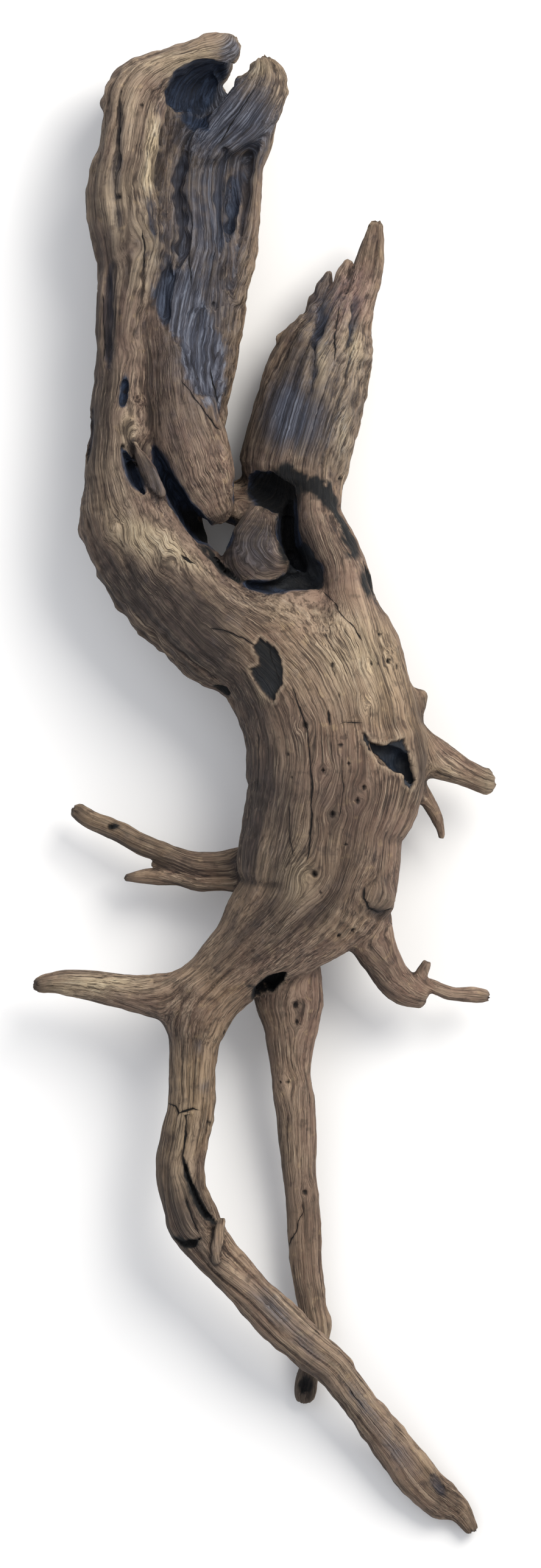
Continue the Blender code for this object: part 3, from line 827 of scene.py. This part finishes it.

# Splits are finer than the skin's own mesh, so each point carries how far to one side of the nearest
# split it is and how wide that is there, and the finish draws the line between the points in painted shade.
aside = np.full(COUNT, 9.0)
gape = np.full(COUNT, -9.0)  # below 0 there is no split
waver = 0.8 * noise(points / (7, 7, 20), 40) + 0.35 * noise(points / 2.5, 41)
for width, line in CRACKS:
    line = np.array(line, float)
    lengths = np.linalg.norm(np.diff(line, axis=0), axis=1)
    full, run_up = lengths.sum(), np.concatenate([[0], np.cumsum(lengths)])
    off, side, along = np.full(COUNT, FAR), np.zeros(COUNT), np.zeros(COUNT)
    for low, high, length, before in zip(line, line[1:], lengths, run_up):
        ahead = (high - low) / length
        t = (points[:, :2] - low) @ ahead
        x, y = (points[:, :2] - low - np.clip(t, 0, length)[:, None] * ahead).T
        better = np.hypot(x, y) < off
        off = np.where(better, np.hypot(x, y), off)
        side = np.where(better, ahead[0] * y - ahead[1] * x, side)
        along = np.where(better, before + t, along)
    side = side + waver * np.clip(2 - width, 0, 1)
    taper = np.clip(np.minimum(along, full - along) / (3 + 2 * width), -1, 1)
    open_here = width * taper - np.maximum(off - 3.5, 0)
    open_here = np.where(normal[:, 2] > 0, open_here * (0.75 + 0.45 * noise(points / 7, 44)), -9)
    nearer = open_here > gape
    aside, gape = np.where(nearer, side, aside), np.where(nearer, open_here, gape)

# How far the surface sinks in along the splits and into the pits.
sink = 1.3 * np.exp(-((aside / 1.3) ** 2)) * np.clip(gape * 2, 0, 1.6)
# The pits are marked as well, for the finish to fill with painted shade.
crack = np.zeros(COUNT)
for x, y, size in PITS:
    cut = spot(x, y, size * 0.6, size * 0.85) * front * (1 + 0.25 * ragged)
    crack = np.maximum(crack, cut)
    sink += 1.4 * size * cut

# Dents and swellings too small for the limbs: x, y, sizes, height.
DENTS = [
    (-109, 290, 9, 22, -3.0), (-92, 515, 7, 26, -2.0), (96, -98, 17, 14, 5.0), (94, -112, 9, 7, -4.0),
    (101, -96, 7, 6, 3.5), (-62, -178, 22, 10, -3.0), (40, -80, 13, 17, -1.5), (85, 62, 8, 8, 2.0),
    (76, 28, 12, 16, 1.2), (112, 38, 16, 6, 3.0), (128, 14, 8, 22, 3.5), (-42, 30, 16, 30, 2.0),
    (-20, 130, 20, 12, 2.0), (10, 60, 8, 12, 2.0), (-12, 70, 9, 7, 3.0), (152, -590, 9, 14, -3.0),
    (-76, 178, 5, 5, 2.5), (-121, 208, 5, 5, 2.5), (-124, 470, 10, 24, 2.5), (-104, 430, 8, 26, 2.0),
    (-104, 545, 10, 24, 1.5), (-20, 118, 34, 10, 1.5), (48, 110, 26, 20, 1.5), (30, -20, 24, 40, 1.0),
]
lift = spread(DENTS) * front

# Burnt patches: how far the wood has shrunk back, how glossy the pitch on it is, whether a rim stands
# up round it, outline on plan.
BURNT = [
    (2.0, 0.15, True, [
        (-2.5, 117), (9, 109.5), (15, 97.5), (16.5, 79.5), (8, 65), (-4.5, 79.5), (-10.5, 92.5), (-2, 94),
        (-7.5, 109.5),
    ]),
    (1.5, 1.0, True, [
        (81.5, 40), (89, 31), (98.5, 28.5), (108.5, 32), (115, 34.5), (118, 25), (123, 6.5), (123.5, -3),
        (120.5, -6), (117, -3), (115.5, 5.5), (106, 9), (96.5, 17.5), (85.5, 26), (82.5, 32),
    ]),
    (0.5, 0.4, False, [
        (-18, 164), (3, 159), (47.5, 156), (50, 167), (42, 189), (33, 197), (23, 184), (18, 169),
        (-2, 161),
    ]),
]
# The char, which further down also takes the brown-black painted shade of some hollows and spots.
char_and_shade = np.zeros(COUNT)
pitch = np.zeros(COUNT)
for back, gloss, rimmed, outline in BURNT:
    depth_in = inside(outline) + ragged * 0.8
    here = smooth_step(-0.6, 0.9, depth_in) * (normal[:, 2] > -0.1)
    char_and_shade = np.maximum(char_and_shade, here)
    pitch = np.maximum(pitch, gloss * here)
    sink += back * here * (1 + 0.4 * noise(points / 5, 45))
    if rimmed:
        sink -= 0.9 * np.exp(-(((depth_in + 1.8) / 1.6) ** 2))

# A burnt band round the root of the right arm, and dark spots in the char colours: all but the last
# are painted shade in the right notch, the through-hole, under the tongue, in the slot, the arch and a
# knot hole, and the last is a dark rough patch by the crotch. Each: x, y, sizes, turn, amount.
ARM_BAND = [(18, 256), (29, 248), (50, 240), (66, 218), (74, 200), (77, 190)]
CHAR_AND_SHADE_SPOTS = [
    (86, 163, 6, 15, 10, 1.2), (-41, 196, 9, 12, 0, 1.3), (-58, 214, 10, 20, 40, 1.0),
    (20, 200, 9, 24, 0, 1.2), (10, 240, 24, 18, 0, 1.2), (24, 188, 4, 4, 0, 1.0),
    (-124, -38, 6, 4, 0, 0.9), (-10, -169, 5, 3, 0, 0.8),
]
band = 1.35 - from_line(ARM_BAND) / (8.5 + 2 * ragged)
scorch_and_shade = np.maximum(spread(CHAR_AND_SHADE_SPOTS), band) * front
char_and_shade = np.maximum(char_and_shade, smooth_step(0.34, 0.7, scorch_and_shade + 0.14 * ragged))

# Heart wood laid bare and blued: its main outline, and soft spots as above, of which the two at
# (-24, 598) and (-35, 577) are painted shade in the hollow under the hood.
BLUED = [
    (-77, 422), (-88.5, 405), (-88, 396), (-77, 374), (-69, 357), (-64.5, 331), (-49, 312), (-36, 297),
    (-35, 303), (-31, 337), (-31, 365), (-40, 374), (-50, 394), (-53, 422),
]
BLUISH = [
    (21, 303, 14, 25, 0, 1.1), (-46, 545, 30, 26, 0, 0.8), (-44, 470, 34, 70, 0, 0.75),
    (-4, 540, 22, 34, 0, 0.75), (-24, 598, 8, 14, 20, 1.9), (-35, 577, 10, 15, 0, 1.4),
    (-6, 192, 22, 22, 0, 0.35), (34, 296, 30, 22, 0, 0.35), (-52, 370, 28, 70, 0, 0.45),
    (60, 340, 40, 80, 0, 0.22), (-84, 250, 12, 20, 0, 0.3), (8, -436, 22, 8, -48, 0.7),
    (36, -466, 22, 6, -48, 0.5), (84, -519, 24, 6, -52, 0.6), (114, -560, 20, 7, -54, 0.6),
    (-48, -252, 7, 5, 0, 0.5), (-52, -219, 5, 5, 0, 0.5), (112, 120, 6, 10, 0, 0.3),
    (50, 400, 12, 40, 0, 0.35),
]
fringe = 2.2 * ragged + 3 * noise(place / (5, 5, 30), 43)
blue = 0.95 * smooth_step(-2.5, 2.5, inside(BLUED) + fringe) * front
blue = np.maximum(blue, np.clip(spread(BLUISH) * front + 0.125 * ragged - 0.05, 0, 0.9) * front)

# Painted shade in the hollows: blue-black where the darkness is above 0, and brown-black, laid in
# with the char, where it is below 0.
hollow_shade = np.zeros(COUNT)
for softness, darkness, stations in HOLLOWS.values():
    path = run_out(stations)
    some = around(path, 10)
    if darkness and len(some):
        gap = chart(path, points[some])[0]
        within = abs(darkness) * smooth_step(-3.0, -0.6, 0.7 * ragged[some] - gap)
        shade = hollow_shade if darkness > 0 else char_and_shade
        shade[some] = np.maximum(shade[some], within)

# Relief: flutes, the soft wood worn back between the fibres, and lumps that don't follow the grain.
folds = np.sqrt(np.abs(noise(place / (17, 17, 120), 11)) + 0.02)
folds += 0.5 * np.sqrt(np.abs(noise(place / (9, 9, 80), 12)) + 0.02)
flutes = 2.2 * (folds - 0.95)
fibres = 1 - 2 * np.abs(noise(place / (3.4, 3.4, 60), 13))
lumps = layered(points / 22, 3, 14)
bumps = noise(points / 8, 15)
smooth_places = 1 - 0.6 * np.clip((spot(60, 40, 60, 70) + spot(-60, 300, 26, 60)) * front, 0, 1)

# Where it is more rugged than usual: x, y, sizes, how much more.
RUGGED = [
    (-50, 440, 34, 110, 2.2), (-116, 440, 26, 150, 1.0), (50, 350, 40, 80, 1.8), (-90, 570, 60, 40, 0.8),
    (-5, 560, 30, 40, 1.0), (-110, 120, 60, 50, 0.8), (-70, 110, 40, 50, 0.5), (-110, 200, 50, 60, 0.7),
    (-30, 60, 20, 90, 0.5), (-60, -320, 40, 110, 0.4), (90, -530, 110, 110, 0.4), (60, 210, 30, 40, 0.4),
]
rugged = 1 + spread(RUGGED)
lift += smooth_places * rugged * (1.15 * flutes + 0.3 * fibres) + (0.5 + 0.6 * rugged) * lumps
lift += (rugged - 0.8) * bumps * np.clip(2.6 - 2 * normal[:, 2], 0, 2)

# Broken ends, which are frayed along the fibres: x, y, size.
ENDS = [
    (187, 0, 9), (-154, -25, 9), (-114, -81, 7), (-190, -170, 8), (186, -179, 6), (176, -626, 8),
    (35, -514, 9), (-24, 604, 13), (3, 592, 13), (93, 463, 8), (133, -153, 6), (133, 63, 9),
    (-38, -397, 5),
]
end = np.clip(sum(spot(*tip) for tip in ENDS), 0, 1)
splinters = 2.6 * noise(place * (0.45, 0.45, 0.02), 50) + 1.6 * noise(place * (0.9, 0.9, 0.05), 51)
calm = np.clip((points[:, 2] - 0.6) / 4, 0, 1)  # nothing is pushed through the floor
normal = unit(blurred(normal, 3))
moved = points + normal * ((lift * (1 - 0.6 * pitch) - sink) * calm)[:, None]
moved += heading * (end * splinters * calm)[:, None]
moved[:, 2] = np.maximum(moved[:, 2], 0)

# What stands up and what lies low: among the fibres themselves, and on the scale of the folds. The
# finish paints shade in what lies low and a highlight on what stands up.
hump = np.einsum("ij,ij->i", moved - neighbour_mean(blurred(moved, 4)), normals_of(moved))
raised = np.clip(hump / 0.9, -1, 1)
broad = np.clip(np.einsum("ij,ij->i", moved - blurred(moved, 40), normals_of(moved)) / 4.0, -1, 1)

# Where the sun has bleached it, and where it is darker than usual, partly from stains and partly
# from painted shade in and beside the hollows and on faces turned from the light: x, y, sizes, turn,
# amount.
PALE = [
    (-91.5, 520, 4.5, 22, 0, 2.2), (-94, 492, 4, 10, 0, 1.0), (-100, 197, 24, 14, -25, 1.3),
    # The streaks at (48.5, 346), (75, 358) and (65, 288) are painted highlights on the right arm's ridges.
    (-66, 185, 26, 7, -40, 0.8), (-3, 68, 4, 6, 20, 1.2), (48.5, 346, 4, 19, 0, 0.9),
    (75, 358, 7, 20, 0, 0.9), (65, 288, 6, 24, 0, 0.9), (-136, -169, 42, 9, 3, 1.1),
    (27, -83, 14, 20, 0, 0.6), (187, 0, 6, 12, 0, 0.8), (-109, 290, 6, 13, 0, 0.9),
    (84, 62, 5, 8, 0, 0.5), (14, -40, 26, 60, 0, 0.2), (88, 108, 30, 40, 0, 0.3),
    (-9, 588, 11, 7, 0, 1.4), (20, 140, 50, 10, -12, 0.5), (60, 90, 36, 30, 0, 0.35),
    (-66, 594, 34, 9, 12, 0.9), (-112, 555, 16, 26, 0, 0.35), (150, 8, 24, 8, -20, 0.35),
    (20, -300, 14, 120, 0, 0.25), (60, -490, 90, 24, -50, 0.35), (-66, -300, 12, 70, 0, 0.25),
    (104, 205, 20, 60, 0, 0.2),
]
DARK_AND_SHADE = [
    (-50, 450, 34, 90, 0, 0.6), (-48, 350, 30, 50, 0, 0.55), (-46, 545, 26, 22, 0, 0.7),
    (19, 304, 22, 40, 0, 0.4), (65, -8, 34, 22, 0, 0.25), (-8, 540, 26, 36, 0, 0.65),
    (50, 410, 9, 30, 0, 0.5), (126, 12, 9, 30, 0, 0.7), (96, -96, 14, 12, 0, 0.4),
    (-124, 380, 14, 110, 0, 0.35), (-90, -56, 70, 16, -10, 0.5), (-56, 110, 40, 18, -45, 0.6),
    (-2, 190, 26, 36, 0, 0.5), (150, -590, 22, 12, -50, 0.4), (-92, 250, 6, 22, 20, 0.7),
    (-40, 212, 22, 10, 0, 0.5), (27, -186, 10, 10, 0, 0.4), (-136, 300, 10, 60, 0, 0.45),
    (-20, -150, 30, 14, 0, 0.25), (35, -500, 12, 16, 0, 0.8), (100, -150, 16, 20, 0, 0.35),
    (96, 430, 8, 24, 0, 0.3), (-64, 335, 12, 50, 20, 0.35), (-70, 270, 8, 50, 18, 0.3),
    (-62, -350, 22, 44, 0, 0.55), (-14, 20, 14, 70, 0, 0.45), (-24, -40, 12, 40, 0, 0.4),
    (30, -110, 60, 24, 20, 0.25), (-60, 152, 18, 40, 50, 0.25), (-56, 128, 50, 26, -38, 0.95),
    (-100, 186, 36, 30, -40, 0.3), (50, -35, 62, 50, 0, 0.4), (-70, 140, 40, 20, -38, 0.3),
    (6, -5, 18, 70, 0, 0.3), (-5, 190, 30, 34, 0, 0.6), (96, -108, 12, 4, -10, 0.9),
    (32, 292, 36, 24, 0, 0.45), (-60, -356, 20, 30, 0, 0.3), (18, -118, 56, 24, 20, 0.4),
    (-50, 420, 40, 130, 0, 0.1), (-4, 560, 26, 34, 0, 0.25), (30, 380, 14, 30, 0, 0.3),
    (-35, 577, 10, 15, 0, 0.9), (-93, 254, 10, 18, 25, 0.8), (34, 350, 14, 50, 0, 0.55),
    (30, 300, 34, 26, 0, 0.3), (60, -70, 50, 30, 0, 0.2), (-60, -366, 20, 24, 0, 0.2),
    (60, 262, 26, 14, 0, 0.4), (60, 330, 34, 60, 0, 0.1), (-100, 330, 40, 160, 0, 0.12),
    (60, 205, 26, 30, 0, 0.25), (-116, 160, 18, 26, 30, 0.5), (44, -360, 14, 60, 0, 0.2),
]

# Greyed by the weather, or below 0 rosy: x, y, sizes, amount.
GREYED = [
    (-110, 430, 60, 130, 0.9), (-100, 250, 60, 60, 0.6), (60, 330, 50, 90, 0.5), (-40, 560, 70, 60, 0.5),
    (-70, 150, 60, 60, 0.3), (20, 60, 60, 50, 0.15), (70, 404, 20, 26, -1.9), (-90, 252, 12, 22, -1.2),
]
grey = np.clip(spread(GREYED), -1, 1)
pale = np.clip(spread(PALE) * front * (1 + 0.5 * noise(place / (4, 4, 40), 20)), 0, 1)
painted_lee_shade = np.clip(-0.95 * normal[:, 0] - 0.35 * normal[:, 1] - 0.12, 0, 1)  # painted shade on the faces turned from the main light
# The darker places: stains and the dark broken ends, with painted shade on the faces turned from the main
# light and, weaker, on the faces turned down the sides.
stain_and_shade = spread(DARK_AND_SHADE) * front + 0.75 * painted_lee_shade + 0.5 * end * (points[:, 1] < 300)
stain_and_shade = np.clip(stain_and_shade * (1 + 0.35 * noise(place / (7, 7, 50), 21)) + 0.25 * (1 - front), 0, 1)


# ---- The finished skin -------------------------------------------------------------------------
# One closed skin. Flat stretches are thinned and the carved ones kept, and each point carries its
# place in the grain, its weathering and its painted shade for the wood finish to read.

FACES = 190000  # of the skin when thinned, all triangles

skin = bpy.data.meshes.new("driftwood_skin")
skin.from_pydata([], [], [])
skin.vertices.add(COUNT)
skin.vertices.foreach_set("co", ((moved - (*MIDDLE, 0)) * MM).astype(np.float32).ravel())
skin.loops.add(quads.size)
skin.loops.foreach_set("vertex_index", quads.astype(np.int32).ravel())
skin.polygons.add(len(quads))
skin.polygons.foreach_set("loop_start", np.arange(0, quads.size, 4, dtype=np.int32))
skin.update(calc_edges=True)


def carry(name, values):
    """Stores a vector at each point of the skin, for the finish to read by name."""
    held = skin.attributes.new(name, "FLOAT_VECTOR", "POINT")
    held.data.foreach_set("vector", values.astype(np.float32).ravel())


carry("fibre", place)
carry("harm", np.stack([char_and_shade, pitch, blue], axis=1))
carry("split", np.stack([aside, gape, np.clip(crack, 0, 1)], axis=1))
carry("sun", np.stack([pale, stain_and_shade, hollow_shade], axis=1))
carry("wear", np.stack([raised, broad, grey], axis=1))

whole = add_object("whole", skin)
thin_out = whole.modifiers.new("thin_out", "DECIMATE")
thin_out.ratio = FACES / (2 * len(quads))
bpy.context.view_layer.update()
finished = bpy.data.meshes.new_from_object(whole.evaluated_get(bpy.context.evaluated_depsgraph_get()))
bpy.data.objects.remove(whole)
finished.name = "weathered_driftwood"
finished.shade_smooth()


# ---- Weathered wood ----------------------------------------------------------------------------
# Bare hardwood, washed and sun-dried: matt grey-brown with fine dark lines between the fibres, with
# painted highlights on the raised grain and painted shade, brown-black and blue-black, in the splits,
# pits, hollows and low places, and glossy where pitch has sealed it.

wood = bpy.data.materials.new("weathered_hardwood")
wood.use_nodes = True
tree = wood.node_tree
shader = tree.nodes["Principled BSDF"]
shader.inputs["IOR"].default_value = 1.5
shader.inputs["Specular IOR Level"].default_value = 0.35


def node(kind, settings=None, inputs=None):
    """Adds one node to the wood's finish and returns its outputs.

    Settings are the node's own, with "stops" for the places and colours of a colour ramp. An input
    takes a value, a hex colour or another node's output."""
    made = tree.nodes.new("ShaderNode" + kind)
    for name, value in (settings or {}).items():
        if name == "stops":
            ramp = made.color_ramp
            while len(ramp.elements) < len(value):
                ramp.elements.new(0.5)
            for stop, (place, colour) in zip(ramp.elements, value):
                stop.position, stop.color = place, linear(colour)
        else:
            setattr(made, name, value)
    for name, value in (inputs or {}).items():
        if isinstance(value, bpy.types.NodeSocket):
            tree.links.new(value, made.inputs[name])
        else:
            made.inputs[name].default_value = linear(value) if isinstance(value, str) else value
    return made.outputs


def carried(name):
    """The three numbers that each point of the skin carries under one name."""
    return node("SeparateXYZ", None, {0: node("Attribute", {"attribute_name": name})["Vector"]})


fibre = node("Attribute", {"attribute_name": "fibre"})["Vector"]
char_and_shade_at, pitch_at, blue_at = carried("harm")
aside_at, gape_at, pit_at = carried("split")
pale_at, stain_and_shade_at, hollow_shade_at = carried("sun")
raised_at, broad_at, grey_at = carried("wear")


def streaks(width, length, detail, rough, wobble=0.0):
    """Noise drawn out along the fibres, from a width and a length in millimetres."""
    scale = (1 / width, 0.45 / width, 1 / length)
    stretched = node("Mapping", {}, {"Scale": scale, "Vector": fibre})[0]
    return node("TexNoise", None, {"Vector": stretched, "Scale": 1.0, "Detail": detail,
                                   "Roughness": rough, "Distortion": wobble})["Fac"]


def mask(source, none, full):
    """A mask from a noise: 0 where the noise is at its first value, rising evenly to 1 at the second."""
    stops = sorted([(none, "#000000"), (full, "#ffffff")])
    return node("ValToRGB", {"stops": stops}, {"Fac": source})["Color"]


def lay(under, over, share, *masks):
    """Lays a colour or finish over another, by a share of its masks multiplied together, 0 to 1.
    A share below 0 lays it where a mask is below 0."""
    amount = share
    for each in masks:
        amount = node("Math", {"operation": "MULTIPLY"}, {0: amount, 1: each})[0]
    return node("Mix", {"data_type": "RGBA"}, {0: amount, 6: under, 7: over})[2]


bands = streaks(5, 120, 5, 0.72, 0.3)
streak = streaks(1.25, 70, 4, 0.65)
fine = streaks(0.65, 45, 3, 0.6)
# Stains that don't follow the grain, from one every 143 mm down to specks every 9 mm.
plain = node("TexCoord")["Object"]
blotch_far, blotch, speck = (
    node("TexNoise", None, {"Vector": plain, "Scale": per_metre, "Detail": detail, "Roughness": rough})["Fac"]
    for per_metre, detail, rough in ((7.0, 3.0, 0.55), (22.0, 4.0, 0.6), (110.0, 3.0, 0.55)))

# What each kind of wood is coloured from its darkest streaks to its palest.
brown = (0.3, "#54412f"), (0.42, "#765e49"), (0.55, "#927a64"), (0.7, "#b09a80")
grey_brown = (0.3, "#423d34"), (0.42, "#665f53"), (0.55, "#857d6d"), (0.7, "#a79d88")
rosy = (0.3, "#5c4642"), (0.5, "#8d716b"), (0.7, "#b89c94")
bleached = (0.3, "#978468"), (0.5, "#bdab8b"), (0.7, "#dccfb2")
shaded = (0.3, "#262120"), (0.5, "#3d332f"), (0.68, "#5a4b43")
blued = (0.35, "#20242f"), (0.5, "#454b5a"), (0.65, "#7d8492")
hollow_shade_ramp = (0.3, "#0e1623"), (0.5, "#1f2d42"), (0.72, "#3e506b")
char_and_shade_ramp = (0.3, "#090a0b"), (0.5, "#141619"), (0.7, "#302c28")
pitched = (0.35, "#10141a"), (0.55, "#1e252f"), (0.72, "#434c58")

base = node("ValToRGB", {"stops": brown}, {"Fac": bands})[0]
base = lay(base, node("ValToRGB", {"stops": grey_brown}, {"Fac": bands})[0], 0.85, grey_at)
base = lay(base, node("ValToRGB", {"stops": rosy}, {"Fac": bands})[0], -0.8, grey_at)
base = lay(base, "#7b6057", 0.5, mask(blotch_far, 0.44, 0.6))
base = lay(base, "#a08a68", 0.35, mask(blotch_far, 0.5, 0.36))
base = lay(base, "#5b4a3e", 0.5, mask(blotch, 0.5, 0.68))
base = lay(base, "#40302a", 0.6, mask(speck, 0.57, 0.68))
base = lay(base, "#b39a74", 0.4, mask(speck, 0.4, 0.3))
base = lay(base, node("ValToRGB", {"stops": bleached}, {"Fac": streak})[0], 0.8, pale_at)
base = lay(base, node("ValToRGB", {"stops": shaded}, {"Fac": streak})[0], 1.0, stain_and_shade_at)
base = lay(base, "#30241c", 0.62, mask(streak, 0.48, 0.4))

# The lines between the fibres, which are worn fainter in places, and a painted highlight along the
# fibres; then painted shade in the low places among the fibres and in the broad hollows, and a painted
# highlight on what stands up. The highlights are weaker where the wood is darkened.
faint = node("ValToRGB", {"stops": ((0.36, "#595959"), (0.6, "#ffffff"))}, {"Fac": blotch})[0]
lit_share = node("Math", {"operation": "MULTIPLY_ADD"}, {0: stain_and_shade_at, 1: -0.6, 2: 1.0})[0]
base = lay(base, "#281e18", 0.75, mask(fine, 0.48, 0.41), faint)
base = lay(base, "#c9b79d", 0.45, mask(fine, 0.55, 0.66), faint, lit_share)
base = lay(base, "#2c231e", -1.0, raised_at)
base = lay(base, "#bba88f", 0.42, raised_at, lit_share)
base = lay(base, "#2f2621", -0.75, broad_at)

# The blue-black heart wood, painted blue-black shade in the hollows, the burnt places with their
# pitch together with the brown-black painted shade laid in with them, and painted shade in the splits.
base = lay(base, node("ValToRGB", {"stops": blued}, {"Fac": streak})[0], 0.85, blue_at)
base = lay(base, node("ValToRGB", {"stops": hollow_shade_ramp}, {"Fac": streak})[0], 0.93, hollow_shade_at)
char_and_shade_colour = node("ValToRGB", {"stops": char_and_shade_ramp}, {"Fac": streak})[0]
char_and_shade_colour = lay(char_and_shade_colour, node("ValToRGB", {"stops": pitched}, {"Fac": blotch})[0], 1.0, pitch_at)
base = lay(base, char_and_shade_colour, 1.0, char_and_shade_at)
# Painted shade: a near-black line down each split and a near-black spot in each pit.
off = node("Math", {"operation": "ABSOLUTE"}, {0: aside_at})[0]
within = node("Math", {"operation": "SUBTRACT"}, {0: gape_at, 1: off})[0]
opening = node("Math", {"operation": "MULTIPLY_ADD", "use_clamp": True}, {0: within, 1: 2.5, 2: 0.5})[0]
pit = node("Math", {"operation": "MULTIPLY", "use_clamp": True}, {0: pit_at, 1: 1.1})[0]
opening = node("Math", {"operation": "MAXIMUM"}, {0: opening, 1: pit})[0]
base = lay(base, "#0d0a08", 0.95, opening)

# Dry wood: the darks a little deeper and the whole a little paler.
base = node("Gamma", None, {"Color": base, "Gamma": 1.16})[0]
base = node("HueSaturation", None, {"Color": base, "Value": 1.18, "Saturation": 0.9})[0]
tree.links.new(base, shader.inputs["Base Color"])

# Matt, rougher along some streaks, with a patchy shine where there is pitch.
shine = node("ValToRGB", {"stops": ((0.4, "#555555"), (0.6, "#ffffff"))}, {"Fac": blotch})[0]
shine = node("Math", {"operation": "MULTIPLY"}, {0: pitch_at, 1: shine})[0]
rough = node("Math", {"operation": "MULTIPLY_ADD"}, {0: streak, 1: 0.2, 2: 0.74})[0]
rough = node("Math", {"operation": "MULTIPLY_ADD", "use_clamp": True}, {0: shine, 1: -0.55, 2: rough})[0]
tree.links.new(rough, shader.inputs["Roughness"])

# Relief too fine for the skin's own mesh, a millimetre or two deep. Pitch fills it.
height = node("Math", {"operation": "MULTIPLY"}, {0: streak, 1: 0.9})[0]
height = node("Math", {"operation": "MULTIPLY_ADD"}, {0: fine, 1: 0.55, 2: height})[0]
unfilled = node("Math", {"operation": "MULTIPLY_ADD"}, {0: pitch_at, 1: -0.75, 2: 1.0})[0]
height = node("Math", {"operation": "MULTIPLY"}, {0: height, 1: unfilled})[0]
height = node("Math", {"operation": "MULTIPLY_ADD"}, {0: opening, 1: -0.8, 2: height})[0]
bump = node("Bump", None, {"Strength": 1.0, "Distance": 2.4 * MM, "Height": height})[0]
tree.links.new(bump, shader.inputs["Normal"])

finished.materials.clear()
finished.materials.append(wood)
driftwood = add_object("driftwood_skin", finished)
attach(driftwood, "root")
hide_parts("driftwood")


# ---- Updating the scene ------------------------------------------------------------------------

bpy.context.view_layer.update()
